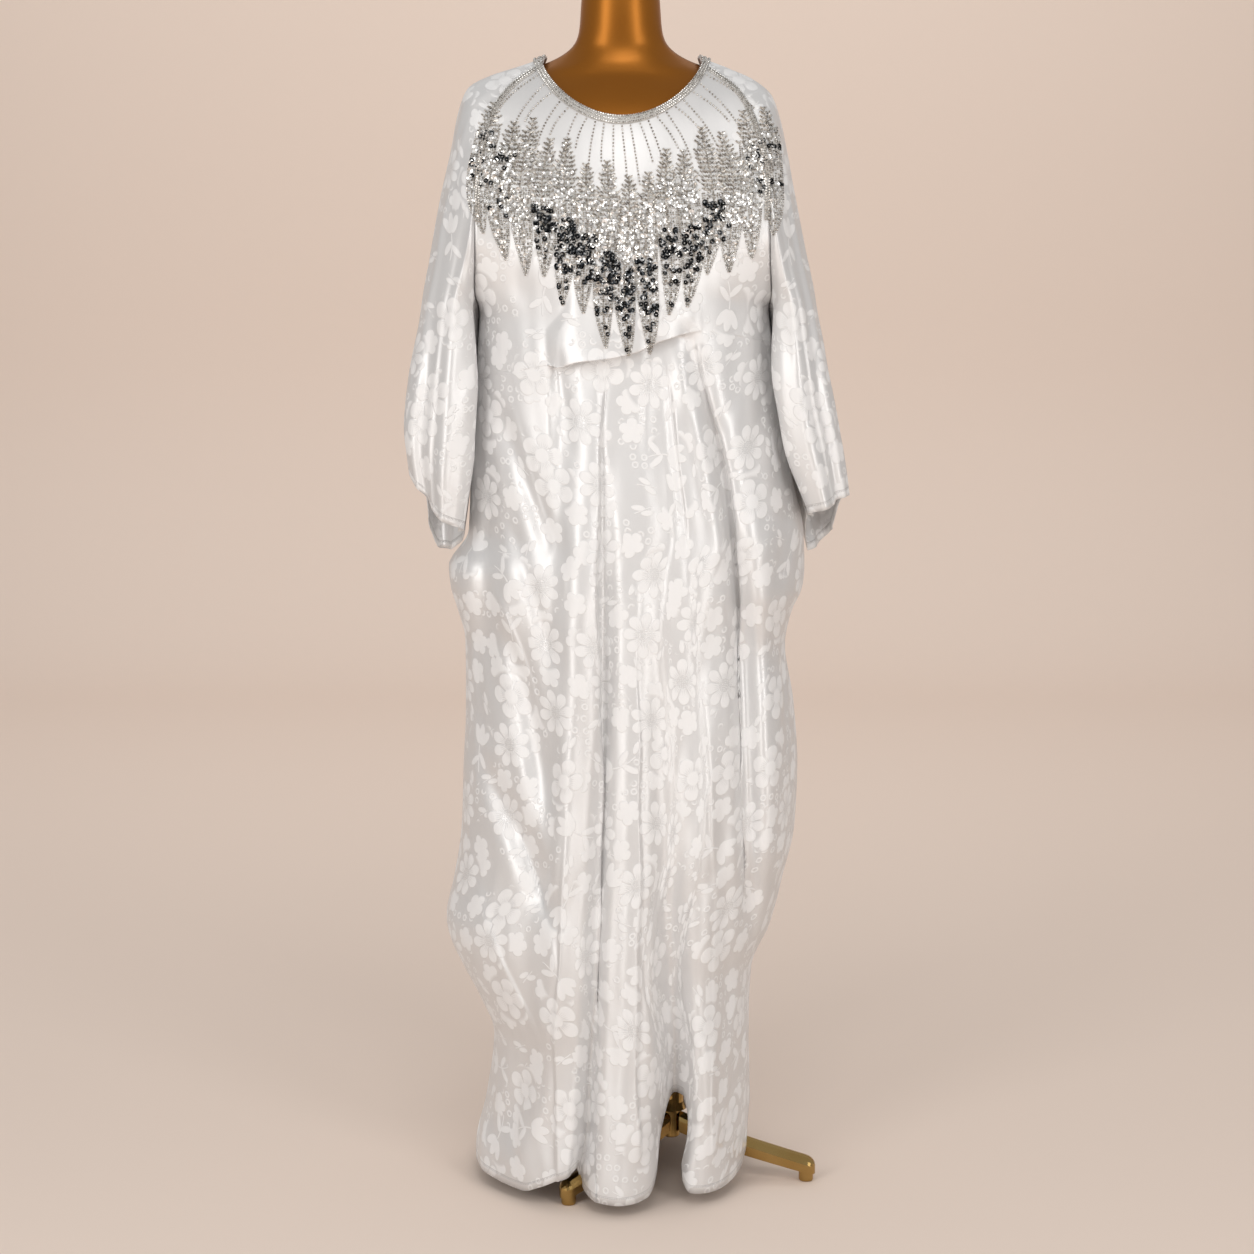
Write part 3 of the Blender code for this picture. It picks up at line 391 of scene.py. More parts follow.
# Creases that are too fine for the solids
FRONT_CREASES = (
    Fold("under tuck pleat", 0.0049, (1.070, -0.030, -0.0030), (0.98, -0.032, -0.0026),
         (0.90, -0.030, 0.0)),
    Fold("tuck gather left", 0.0084, (1.068, -0.085, -0.0017), (1.02, -0.078, -0.0026),
         (0.95, -0.070, 0.0)),
    Fold("tuck gather right", 0.0084, (1.085, 0.030, -0.0017), (1.02, 0.024, -0.0026), (0.93, 0.022, 0.0)),
    Fold("waist fan one", 0.0098, (1.09, 0.060, 0.0), (1.03, 0.072, 0.0034), (0.93, 0.098, 0.0034),
         (0.80, 0.118, 0.0)),
    Fold("waist fan two", 0.0084, (1.08, 0.050, 0.0), (1.00, 0.056, -0.0026), (0.88, 0.072, -0.0026),
         (0.76, 0.085, 0.0)),
    Fold("left flank one", 0.0098, (1.00, -0.150, 0.0), (0.93, -0.120, 0.0034), (0.86, -0.095, 0.0026),
         (0.80, -0.075, 0.0)),
    Fold("left flank two", 0.0098, (0.90, -0.160, 0.0), (0.82, -0.130, -0.0034), (0.74, -0.105, -0.0026),
         (0.68, -0.085, 0.0)),
    Fold("left flank three", 0.0112, (0.66, -0.170, 0.0), (0.58, -0.140, 0.0034), (0.50, -0.115, 0.0034),
         (0.44, -0.095, 0.0)),
    Fold("mid line one", 0.0098, (0.80, 0.022, 0.0), (0.60, 0.026, 0.0026), (0.30, 0.030, 0.0034),
         (0.10, 0.026, 0.0)),
    Fold("mid line two", 0.0112, (0.70, -0.012, 0.0), (0.50, -0.014, -0.0026), (0.25, -0.018, -0.0034),
         (0.06, -0.022, 0.0)),
    Fold("right lobe line", 0.0112, (0.60, 0.118, 0.0), (0.40, 0.122, -0.0034), (0.20, 0.126, -0.0043),
         (0.05, 0.128, 0.0)),
)

# Pleats with one sharp edge: the cloth swells to the right of the edge, or to the left of it where
# wide is negative
FRONT_PLEATS = (
    Fold("long pleat", -0.030, (1.065, -0.030, 0.004), (0.90, -0.034, 0.010), (0.60, -0.036, 0.013),
         (0.30, -0.036, 0.014), (0.02, -0.042, 0.013)),
    Fold("side pleat", 0.026, (1.08, 0.086, 0.005), (0.99, 0.112, 0.014), (0.85, 0.138, 0.018),
         (0.70, 0.146, 0.018), (0.45, 0.150, 0.015), (0.30, 0.142, 0.005)),
    Fold("upper left drag", -0.020, (1.02, -0.148, 0.002), (0.92, -0.115, 0.005), (0.80, -0.073, 0.002)),
    Fold("middle left drag", -0.020, (0.80, -0.165, 0.002), (0.70, -0.128, 0.006), (0.58, -0.090, 0.002)),
    Fold("low left drag", -0.024, (0.56, -0.170, 0.002), (0.44, -0.125, 0.006), (0.32, -0.085, 0.002)),
    Fold("calf drag", -0.018, (0.40, -0.190, 0.002), (0.30, -0.150, 0.006), (0.22, -0.105, 0.002)),
    Fold("left hem pleat", 0.020, (0.50, -0.078, 0.001), (0.25, -0.090, 0.006), (0.05, -0.084, 0.007)),
    Fold("middle pleat", -0.016, (0.78, 0.016, 0.001), (0.45, 0.014, 0.005), (0.10, 0.016, 0.006)),
    Fold("waist pleat", 0.018, (1.06, 0.048, 0.001), (0.95, 0.062, 0.005), (0.80, 0.078, 0.002)),
    Fold("right lobe pleat", 0.014, (0.66, 0.100, 0.001), (0.40, 0.108, 0.005), (0.08, 0.112, 0.005)),
)
PLEAT_SOFT = 0.0036
PLEAT_LEAN = 0.5
PLEAT_LEAN_REACH = 0.012
PLEAT_END = 0.04
PLEAT_START = 0.02

Tuck = namedtuple("Tuck", "x z share")
TUCK = rows_of(
    Tuck,
    (-0.200, 1.040, 0.0), (-0.100, 1.058, 0.0), (-0.084, 1.063, 0.9),
    (-0.060, 1.071, 1.0), (-0.020, 1.076, 1.0), (0.010, 1.083, 1.0),
    (0.046, 1.097, 0.9), (0.074, 1.101, 0.4), (0.095, 1.100, 0.0), (0.200, 1.080, 0.0),
)
Hem = namedtuple("Hem", "x z")
FRONT_HEM = rows_of(
    Hem,
    (-0.200, 0.024), (-0.163, 0.0165), (-0.135, 0.0158), (-0.110, 0.026), (-0.080, 0.042),
    (-0.059, 0.048), (-0.053, 0.030), (-0.045, 0.0190), (-0.020, 0.0165), (0.006, 0.0168),
    (0.022, 0.020), (0.032, 0.034), (0.041, 0.090), (0.054, 0.132), (0.068, 0.134),
    (0.078, 0.092), (0.083, 0.030), (0.092, 0.0172), (0.110, 0.0165), (0.135, 0.0185),
    (0.149, 0.026), (0.155, 0.045), (0.161, 0.092), (0.170, 0.098),
)
# Where the lobes of the front hem flare sideways close to the floor
Flare = namedtuple("Flare", "x wide shift")
FRONT_FLARES = rows_of(
    Flare,
    (0.084, 0.020, -0.013), (0.030, 0.014, 0.004), (-0.050, 0.018, -0.007), (-0.185, 0.020, -0.006))
FLARE_TOP_Z = 0.11
BACK_HEM = rows_of(
    Hem,
    (-0.200, 0.024), (-0.140, 0.020), (-0.085, 0.034), (-0.022, 0.020), (0.046, 0.036),
    (0.100, 0.020), (0.135, 0.035), (0.155, 0.085), (0.170, 0.098),
)


def smooth(at, knots, values):
    """A smooth curve through the knots that never overshoots them."""
    at = np.asarray(at, float)
    knots = np.asarray(knots, float)
    values = np.asarray(values, float)
    step = np.diff(knots)
    slope = np.diff(values) / step
    tangent = np.concatenate(([slope[0]], np.zeros(len(slope) - 1), [slope[-1]]))
    same = slope[:-1] * slope[1:] > 0
    tangent[1:-1][same] = 2 * slope[:-1][same] * slope[1:][same] / (slope[:-1] + slope[1:])[same]
    low = np.clip(np.searchsorted(knots, at, side="right") - 1, 0, len(step) - 1)
    t = np.clip((at - knots[low]) / step[low], 0, 1)
    rise = step[low] * t * (1 - t)
    start, end = values[low], values[low + 1]
    ease = t * t * (3 - 2 * t)
    return start + (end - start) * ease + rise * ((1 - t) * tangent[low] - t * tangent[low + 1])


def column(rows, name):
    return [getattr(row, name) for row in rows]


def fade(at, low, high):
    t = np.clip((at - low) / (high - low), 0, 1)
    return t * t * (3 - 2 * t)


def folds(x, z, table, end=FOLD_END):
    total = np.zeros_like(x)
    for fold in table:
        path = fold.path[::-1]
        heights = column(path, "z")
        centre = smooth(z, heights, column(path, "x"))
        depth = smooth(z, heights, column(path, "depth"))
        depth = depth * fade(z, heights[0] - end, heights[0])
        depth = depth * (1 - fade(z, heights[-1], heights[-1] + end)) * (1 + FOLD_DEEPER * (depth < 0))
        total += depth * np.exp(-((x - centre) / fold.wide) ** 2)
    return total


def pleats(x, z, table):
    """How far each pleat stands out, and how far its sharp edge leans over the cloth beside it."""
    total, lean = np.zeros_like(x), np.zeros_like(x)
    for fold in table:
        path = fold.path[::-1]
        heights = column(path, "z")
        sway = 0.0028 * np.sin(11 * z + 40 * fold.wide) + 0.0012 * np.sin(37 * z + 90 * fold.path[0].x)
        past = (x + sway - smooth(z, heights, column(path, "x"))) * math.copysign(1, fold.wide)
        depth = smooth(z, heights, column(path, "depth"))
        depth = depth * fade(z, heights[0] - PLEAT_END, heights[0])
        depth = depth * (1 - fade(z, heights[-1], heights[-1] + PLEAT_START))
        risen = depth * fade(past, -PLEAT_SOFT, PLEAT_SOFT)
        total += risen * np.exp(-np.maximum(past, 0) / abs(fold.wide))
        reach = np.exp(-np.maximum(past, 0) / PLEAT_LEAN_REACH)
        lean -= PLEAT_LEAN * risen * reach * math.copysign(1, fold.wide)
    return total, lean


def body_ring(angle, z, side):
    """Points of the hanging body cloth. The angle runs from -90 (left seam) to 90; side -1 is the front."""
    heights = column(BODY, "z")
    left = smooth(z, heights, column(BODY, "left"))
    right = smooth(z, heights, column(BODY, "right"))
    deep = smooth(z, heights, column(BODY, "front" if side < 0 else "back"))
    square = smooth(z, heights, column(BODY, "square"))
    across = np.abs(np.sin(angle)) * 2 / (right - left)
    along = np.abs(np.cos(angle)) / deep
    reach = (across**square + along**square) ** (-1 / square)
    x = (left + right) / 2 + reach * np.sin(angle)
    y = reach * np.cos(angle)
    inner = fade(np.cos(angle), 0.0, SEAM_FADE)
    y = y + inner * folds(x, z, FRONT_FOLDS if side < 0 else BACK_FOLDS)
    if side < 0:
        risen, lean = pleats(x, z, FRONT_PLEATS)
        y = y + inner * (folds(x, z, FRONT_CREASES, end=0.02) + risen)
        x = x + inner * lean
    return np.stack((x, side * y, z + 0 * x), -1)


def sleeve_point(rings, row, turn):
    """A point of a sleeve: row down the sleeve, turn round it from -1 (front seam) to 1 (back seam)."""
    rows = column(rings, "row")
    now = {name: smooth(row, rows, column(rings, name)) for name in Ring._fields}
    wrap = np.radians(now["wrap"]) * turn
    cos, sin = np.cos(wrap), np.sin(wrap)
    share = np.clip((row - RAGLAN_ROWS) / (CUFF_ROW - RAGLAN_ROWS), 0, 1)
    swell = np.zeros_like(cos)
    for fold in SLEEVE_FOLDS:
        depth = fold.top_depth + (fold.cuff_depth - fold.top_depth) * fade(row, 3, CUFF_ROW)
        swell += depth * np.exp(-((np.degrees(wrap) - fold.turn) / fold.wide) ** 2)
    toward = cos >= 0
    side_x = np.where(toward, now["ridge_x"], now["inner_x"]) - now["mid_x"]
    side_z = np.where(toward, now["ridge_z"], now["inner_z"]) - now["mid_z"]
    deep = np.where(sin < 0, now["front"], now["back"])
    outward = np.sign(rings[0].ridge_x)
    x = now["mid_x"] + side_x * np.abs(cos) + outward * swell * cos
    lapped = fade(row, RAGLAN_ROWS - 1, LIP_ROW + 0.5) * (
        1 - LAP_LOSS_AT_CUFF * fade(row, CUFF_ROW - 1.5, CUFF_ROW))
    x = x - outward * SLEEVE_LAP * lapped * np.exp(-((np.degrees(wrap) - LAP_TURN) / LAP_WIDE) ** 2)
    flatter = np.abs(sin) ** (-SLEEVE_FLATNESS * fade(row, RAGLAN_ROWS, LIP_ROW + 1) * (np.abs(sin) > 1e-6))
    y = (deep + swell * np.abs(sin)) * sin * flatter
    raised = fade(row, ROW_OF_RAISE, ROW_OF_RAISE + 2) * (1 - fade(row, RAGLAN_ROWS - 1, RAGLAN_ROWS))
    y = y - SEAM_RAISE * raised * np.exp(-((turn + 1) / SEAM_RAISE_WIDE) ** 2)
    z = now["mid_z"] + side_z * np.abs(cos)
    cuff_name = "left_z" if outward < 0 else "right_z"
    cuff_z = smooth(np.degrees(wrap), column(CUFF, "turn"), column(CUFF, cuff_name))
    start = rings[RAGLAN_ROWS]
    seam_side = np.where(toward, start.ridge_z, start.inner_z) - start.mid_z
    seam_z = start.mid_z + seam_side * np.abs(cos)
    z = np.where(row > RAGLAN_ROWS, seam_z + (cuff_z - seam_z) * share, z)
    return np.stack((x, y, z + 0 * x), -1)


def seam_turn(row):
    """How far round a sleeve its seams lie: just short of meeting below the underarm."""
    underarm_radius = 0.10
    return 1 - SEAM_GAP / 2 / underarm_radius / math.pi * (np.asarray(row, float) >= RAGLAN_ROWS)


def unit(vectors):
    return vectors / np.linalg.norm(vectors, axis=-1, keepdims=True)


def armhole(rings, rows, side):
    """The panel's edge beside a sleeve: the sleeve's own seam line, one seam gap away."""
    rows = np.asarray(rows, float)
    end = side * seam_turn(rows)
    edge = sleeve_point(rings, rows, end)
    ahead = unit(edge - sleeve_point(rings, rows, end * 0.98))
    down = sleeve_point(rings, np.minimum(rows + 0.02, RAGLAN_ROWS), end)
    down = unit(down - sleeve_point(rings, np.maximum(rows - 0.02, 0), end))
    outward = -unit(np.cross(ahead, down)) * side * np.sign(rings[0].ridge_x)
    wrap = smooth(rows, column(rings, "row"), column(rings, "wrap"))
    flat = np.clip((110 - wrap) / 20, 0, 1)[:, None]
    return edge + SEAM_GAP * unit(flat * ahead + (1 - flat) * outward)


def neckline(across, side):
    angle = across * NECK_CORNER
    drop = FRONT_DROP if side < 0 else BACK_DROP
    x = NECK_MID + NECK_HALF * np.sin(angle)
    y = NECK_SIDE_Y + NECK_REACH * np.cos(angle)
    z = NECK_SIDE_Z - drop * np.cos(angle) ** NECK_ROUND
    z = z - NECK_CORNER_DROP * (1 - np.cos(angle)) * np.abs(across)
    return np.stack((x, side * y, z), -1)


def panel(side, rows, columns):
    """The front (side -1) or back (side 1): rows from the neckline past the tuck to the hem."""
    row = np.asarray(rows, float)[:, None] + np.zeros((1, columns + 1))
    flat = np.linspace(-1, 1, columns + 1)[None, :]
    across = (1 - MIDDLE_CROWDING) * flat + MIDDLE_CROWDING * flat**3 + 0 * row
    upper = np.minimum(row[:, 0], RAGLAN_ROWS)
    edges = [armhole(rings, upper, side) for rings in (SLEEVE_LEFT, SLEEVE_RIGHT)]
    half_depth = 0.13 if side < 0 else 0.12
    limit = math.pi / 2 - SEAM_GAP / 2 / half_depth
    angles = []
    for edge in edges:
        z = edge[:, 2]
        middle = (smooth(z, column(BODY, "z"), column(BODY, "left"))
                  + smooth(z, column(BODY, "z"), column(BODY, "right"))) / 2
        angle = np.arctan2(edge[:, 0] - middle, side * edge[:, 1])
        seam = math.copysign(limit, angle[0])
        angle = np.where(row[:, 0] >= RAGLAN_ROWS, seam, np.clip(angle, -limit, limit))
        angles.append(angle[:, None])
    angle = angles[0] + (angles[1] - angles[0]) * (across + 1) / 2

    neck = neckline(across[0], side)
    for edge, corner, flip in zip(edges, (0, -1), (-1, 1)):
        neck += (edge[0] - neck[corner]) * (np.clip(flip * across[0], 0, 1) ** 4)[:, None]
    place_x = body_ring(angle[-1], np.full(columns + 1, TUCK_MID_Z), side)[:, 0]
    tuck_z = smooth(place_x, column(TUCK, "x"), column(TUCK, "z"))
    share = smooth(place_x, column(TUCK, "x"), column(TUCK, "share")) if side < 0 else np.zeros(columns + 1)
    lip_z = tuck_z - 0.006 * share + 0.003 * (1 - share)
    root_z = tuck_z + 0.004 * share - 0.003 * (1 - share)
    hem = FRONT_HEM if side < 0 else BACK_HEM
    hem_x = body_ring(angle[-1], np.full(columns + 1, HEM_MID_Z), side)[:, 0]
    hem_z = smooth(hem_x, column(hem, "x"), column(hem, "z"))

    down_middle = np.minimum(row / LIP_ROW, 1)
    down = down_middle.copy()
    past = np.clip(row[:, 0] - RAGLAN_ROWS, 0, 1)
    for half, edge, corner in zip((flat < 0, flat >= 0), edges, (0, -1)):
        down_edge = (edge[:, 2] - edge[0, 2]) / (lip_z[corner] - edge[0, 2])
        down_edge = (down_edge + (1 - down_edge) * past)[:, None]
        mixed = down_middle + (down_edge - down_middle) * np.abs(across) ** EDGE_BLEND
        down = np.where(half, mixed, down)
    z = neck[None, :, 2] + (lip_z - neck[:, 2]) * np.clip(down, 0, 1)
    below = np.clip((row - ROOT_ROW) / (HEM_ROW - ROOT_ROW), 0, 1)
    z = np.where(row >= ROOT_ROW, root_z + (hem_z - root_z) * below, z)
    turned_under = np.clip(row - LIP_ROW, 0, 1)
    z = np.where((row > LIP_ROW) & (row < ROOT_ROW), lip_z + (root_z - lip_z) * turned_under**2, z)

    points = body_ring(angle, z, side)
    step = TUCK_STEP * share * np.where(row >= ROOT_ROW, np.exp(-(root_z - z) / TUCK_FADE_DOWN), 0)
    blouse = TUCK_STEP / 2 * share * np.where(row <= LIP_ROW, np.exp(-((z - lip_z) / TUCK_FADE_UP) ** 2), 0)
    between = (row > LIP_ROW) & (row < ROOT_ROW)
    offset = np.where(between, share * TUCK_STEP * (0.5 - 1.5 * turned_under), blouse - step)
    points[..., 1] += side * offset

    for edge, flip in zip(edges, (-1, 1)):
        corner = 0 if flip < 0 else -1
        miss = np.where(row[:, :1] <= RAGLAN_ROWS, edge - points[:, corner], 0)
        weight = np.clip(flip * across, 0, 1) ** 4
        points += miss[:, None, :] * weight[..., None]
        miss_side = miss[row[:, 0] <= RAGLAN_ROWS][-1]
        going = (1 - fade(row, RAGLAN_ROWS, RAGLAN_ROWS + 4)) * (row > RAGLAN_ROWS)
        points += miss_side * (going * weight)[..., None] * np.array((1, 0, 0))
    miss = neck - points[0]
    points += miss[None] * (1 - fade(row, 0, 5))[..., None]
    if side < 0:
        low = (1 - fade(points[..., 2], HEM_MID_Z, FLARE_TOP_Z)) * (1 - np.abs(across) ** 8)
        place = points[..., 0].copy()
        for flare in FRONT_FLARES:
            points[..., 0] += low * flare.shift * np.exp(-((place - flare.x) / flare.wide) ** 2)
    return points


def facing(points, outward):
    """Unit normals of a grid of points, turned to the outward side."""
    return unit(np.cross(np.gradient(points, axis=0), np.gradient(points, axis=1))) * outward


def cut_lengths(points):
    """Where each point lay on the flat cut: metres across from the middle, and metres down."""
    run = np.linalg.norm(np.diff(points, axis=1), axis=-1)
    across = np.concatenate((np.zeros((len(points), 1)), np.cumsum(run, 1)), 1)
    across -= across[:, points.shape[1] // 2][:, None]
    drop = np.linalg.norm(np.diff(points, axis=0), axis=-1)
    down = np.concatenate((np.zeros((1, points.shape[1])), np.cumsum(drop, 0)), 0)
    return across, down


def rippled(points, outward, size, seed, strength=None):
    """The cloth with small soft ripples that run down it."""
    across, down = cut_lengths(points)
    lift = np.array([
        noise.noise((u * 26 + seed, v * 5, seed)) + 0.45 * noise.noise((u * 60, v * 17 + seed, seed + 7))
        for u, v in zip(across.ravel(), down.ravel())]).reshape(across.shape)
    edge = np.minimum(1, np.arange(points.shape[1]) / 6)
    hold = np.minimum(edge, edge[::-1])[None, :] * np.minimum(1, np.arange(len(points)) / 8)[:, None]
    if strength is not None:
        hold = hold * strength
    return points + facing(points, outward) * (lift * hold * size)[..., None]


def cloth(name, points, outward, plain, hem_line, material, upright=False):
    """A sheet of silk through a grid of points, with its cut as its UV map and a thin wall inwards."""
    rows, columns = points.shape[:2]
    body = bmesh.new()
    bmesh.ops.create_grid(body, x_segments=columns - 1, y_segments=rows - 1, size=1)
    for vert, place in zip(body.verts, points.reshape(-1, 3)):
        vert.co = place
    if outward > 0:
        bmesh.ops.reverse_faces(body, faces=body.faces[:])
    piece = piece_of(name, body, material)
    mesh = piece.data
    across, down = cut_lengths(points)
    if upright:
        down = CUT_TOP_Z - points[..., 2]
    vertex = np.zeros(len(mesh.loops), int)
    mesh.loops.foreach_get("vertex_index", vertex)
    flat = np.stack((across.ravel(), down.ravel()), -1)[vertex]
    mesh.uv_layers.new(name="cut").data.foreach_set("uv", flat.ravel())
    for title, values in (("plain", plain), ("hem", hem_line)):
        layer = mesh.attributes.new(title, "FLOAT", "POINT")
        layer.data.foreach_set("value", np.broadcast_to(values, points.shape[:2]).ravel().astype(np.float32))
    wall = piece.modifiers.new("silk wall", "SOLIDIFY")
    wall.thickness = SILK
    wall.offset = -1
    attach(piece, "root")
    return piece


# Woven jacquard: glossy satin ground with matte flowers, in the cut's own metres
satin, satin_shader, wire = finish_of(
    "jacquard_silk", Sheen_Weight=0.12, Sheen_Roughness=0.4, Specular_IOR_Level=0.6)
cut = wire.node("ShaderNodeUVMap", uv_map="cut")


def cut_noise(vector, scale, detail):
    sockets = {"Vector": vector, "Scale": scale, "Detail": detail}
    return wire.node("ShaderNodeTexNoise", sockets, noise_dimensions="2D")


def cells(size, randomness, shift):
    """Scattered middles on the cut: the place from the nearest one, and three random numbers."""
    moved = wire.node("ShaderNodeVectorMath", {0: cut, 1: (shift, shift * 0.7, 0)}, operation="ADD")
    finder = wire.tree.nodes.new("ShaderNodeTexVoronoi")
    finder.voronoi_dimensions = "2D"
    finder.inputs["Scale"].default_value = 1 / size
    finder.inputs["Randomness"].default_value = randomness
    wire.tree.links.new(moved.socket, finder.inputs["Vector"])
    middle = Wire(wire.tree, finder.outputs["Position"])
    away = wire.node("ShaderNodeVectorMath", {0: moved, 1: middle}, operation="SUBTRACT")
    chance = Wire(wire.tree, finder.outputs["Color"])
    picks = [wire.node("ShaderNodeSeparateColor", {0: chance}, k) for k in range(3)]
    return away, picks


def turned_by(away, pick):
    """The place from a flower's middle, turned by a random angle."""
    turn = {"Vector": away, "Angle": pick * (2 * math.pi)}
    return wire.node("ShaderNodeVectorRotate", turn, rotation_type="Z_AXIS").parts()


def polar(x, y):
    return (x * x + y * y) ** 0.5, wire.math("ARCTAN2", y, x)


def petals(reach, angle, count, size, notch):
    """A flower of that many petals: its mask, and the thin lines between the petals."""
    wave = wire.math("ABSOLUTE", wire.math("COSINE", angle * (count / 2)))
    edge = size * (1 - notch) + wave ** 0.55 * (size * notch)
    return reach.below(edge, 0.0007), wave.below(0.26, 0.12) * reach.below(size, 0.001)


def oval(x, y, middle_x, middle_y, half_long, half_wide, tilt):
    """A leaf or petal: an oval along x, turned by tilt."""
    cos, sin = math.cos(tilt), math.sin(tilt)
    along = (x - middle_x) * cos + (y - middle_y) * sin
    across = (y - middle_y) * cos - (x - middle_x) * sin
    far = ((along * (1 / half_long)) ** 2 + (across * (1 / half_wide)) ** 2) ** 0.5
    return far.below(1.0, 0.07)


def largest(*masks):
    best = masks[0]
    for mask in masks[1:]:
        best = wire.math("MAXIMUM", best, mask)
    return best


DAISY = 0.0290
CUP = 0.0285
EYE = 0.0088
SEAM_OF_PETALS = 0.0095
big, (kind, spin, _) = cells(0.082, 0.62, 0.31)
bx, by = turned_by(big, spin)
reach, angle = polar(bx, by)
daisy, daisy_lines = petals(reach, angle, 8, DAISY, 0.46)
dots_away, _ = cells(0.0024, 0.5, 2.9)
dots = polar(*dots_away.parts())[0].below(0.00085, 0.0003)
daisy = daisy * (1 - reach.below(EYE, 0.0006) * (1 - dots))
cup, cup_lines = petals(reach, angle, 5, CUP, 0.46)
side_bloom = largest(
    oval(bx, by, 0.014, 0.000, 0.014, 0.0062, 0.0), oval(bx, by, 0.011, 0.0085, 0.013, 0.0058, 0.55),
    oval(bx, by, 0.011, -0.0085, 0.013, 0.0058, -0.55))
stem_bend = by - (bx * bx) * 9.0
stem = wire.math("ABSOLUTE", stem_bend).below(0.0011, 0.0004)
stem = stem * (bx * -1).below(0.034, 0.001) * bx.below(0.0, 0.001)
leaves = largest(
    oval(bx, by, -0.018, 0.011, 0.0115, 0.0042, 2.3), oval(bx, by, -0.024, -0.004, 0.0115, 0.0042, -2.5))
spray = largest(side_bloom, stem, leaves)
is_daisy = kind.below(0.44, 0.001)
is_spray = 1 - kind.below(0.72, 0.001)
is_cup = (1 - is_daisy) * (1 - is_spray)
flower = largest(daisy * is_daisy, cup * is_cup, spray * is_spray)
lines = largest(daisy_lines * is_daisy, cup_lines * is_cup) * (1 - reach.below(SEAM_OF_PETALS, 0.001))
clear_of_big = 1 - reach.below(0.033, 0.004)

small, (small_kind, small_spin, _) = cells(0.043, 0.75, 0.83)
sx, sy = turned_by(small, small_spin)
small_reach, small_angle = polar(sx, sy)
posy, _ = petals(small_reach, small_angle, 5, 0.0165, 0.36)
leaf_pair = largest(
    oval(sx, sy, 0.005, 0.0048, 0.0085, 0.0036, 0.45), oval(sx, sy, -0.003, -0.0052, 0.0085, 0.0036, 0.30),
    wire.math("ABSOLUTE", sy).below(0.0008, 0.0003) * wire.math("ABSOLUTE", sx).below(0.013, 0.001))
is_posy = small_kind.below(0.68, 0.001)
small_mask = largest(posy * is_posy, leaf_pair * (1 - is_posy)) * clear_of_big

ring_away, (ring_pick, _, _) = cells(0.0135, 0.55, 1.7)
ring_reach, _ = polar(*ring_away.parts())
ring = ring_reach.below(0.0046, 0.0004) * (1 - ring_reach.below(0.0024, 0.0004))
patch = cut_noise(cut, 14.0, 0.0)
ring = ring * (1 - patch.below(0.52, 0.02)) * ring_pick.below(0.75, 0.01)
ring = ring * clear_of_big * (1 - small_reach.below(0.0185, 0.002))

hatch = wire.math("ABSOLUTE", wire.math("COSINE", angle * 18)).below(0.42, 0.15)
hatch = hatch * reach.below(0.0175, 0.005) * (1 - reach.below(SEAM_OF_PETALS, 0.001)) * (1 - is_spray)
woven = wire.node("ShaderNodeAttribute", output=2, attribute_name="plain")
figured = largest(flower, small_mask, ring) * (1 - lines) * (1 - hatch) * (1 - woven)
HEM_TURN = 0.0102
from_hem = wire.node("ShaderNodeAttribute", output=2, attribute_name="hem")
cut_x, cut_y = cut.parts()
stitch_line = wire.math("ABSOLUTE", from_hem - (HEM_TURN - 0.0017)).below(0.0008, 0.0004)
stitch = stitch_line * wire.math("FRACT", (cut_x + cut_y) * 330).below(0.62, 0.15)
hem_step = 1 - from_hem.below(HEM_TURN, 0.0006)
hem_fold_shade = wire.math("ABSOLUTE", from_hem - HEM_TURN).below(0.0007, 0.0004)
stretched = wire.node("ShaderNodeMapping", {"Vector": cut, "Scale": (900, 160, 1)})
slub = cut_noise(stretched, 1.0, 2.0)
broad = cut_noise(cut, 9.0, 2.0)

shade = wire.flat_colour(0.700, 0.694, 0.692).colour((0.742, 0.736, 0.734, 1), broad)
shade = shade.colour((0.812, 0.807, 0.806, 1), figured)
# Painted shade: the thin dark line along the hem's fold stands in for the shade at the turned edge; the
# stitches take the same darker tone as thread.
shade = shade.colour((0.50, 0.48, 0.47, 1), largest(stitch * 0.6, hem_fold_shade * 0.7))
connect(shade, satin_shader, "Base Color")
connect((1 - figured * 0.75) * 0.40, satin_shader, "Metallic")
connect(0.39 + figured * 0.19 + slub * 0.07, satin_shader, "Roughness")
relief = figured * 0.55 + slub * 0.10 - stitch * 0.8 - hem_step * 0.9
bump = wire.node("ShaderNodeBump", {"Height": relief, "Strength": 0.8, "Distance": 0.0006})
connect(bump, satin_shader, "Normal")

front_rows = np.concatenate((
    np.linspace(0, RAGLAN_ROWS, 60), np.linspace(RAGLAN_ROWS, LIP_ROW - 0.04, 9)[1:], (LIP_ROW,),
    LIP_ROW + np.array((0.10, 0.3, 0.6)), ROOT_ROW + (HEM_ROW - ROOT_ROW) * np.linspace(0, 1, 118)))
front = panel(-1, front_rows, 244)
YOKE_TOP_Z = 1.300
YOKE_RISE = 0.52
yoke = fade(front[..., 2] - (YOKE_TOP_Z + YOKE_RISE * np.abs(front[..., 0])), -0.030, -0.010)
calm = 1 - 0.8 * fade(front[..., 2], 1.10, 1.25)
front = rippled(front, 1, 0.0020, 3.7, calm)
_, front_down = cut_lengths(front)
front_panel = cloth("front_dress_panel", front, 1, yoke, front_down[-1] - front_down, satin, upright=True)
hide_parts("front_panel")


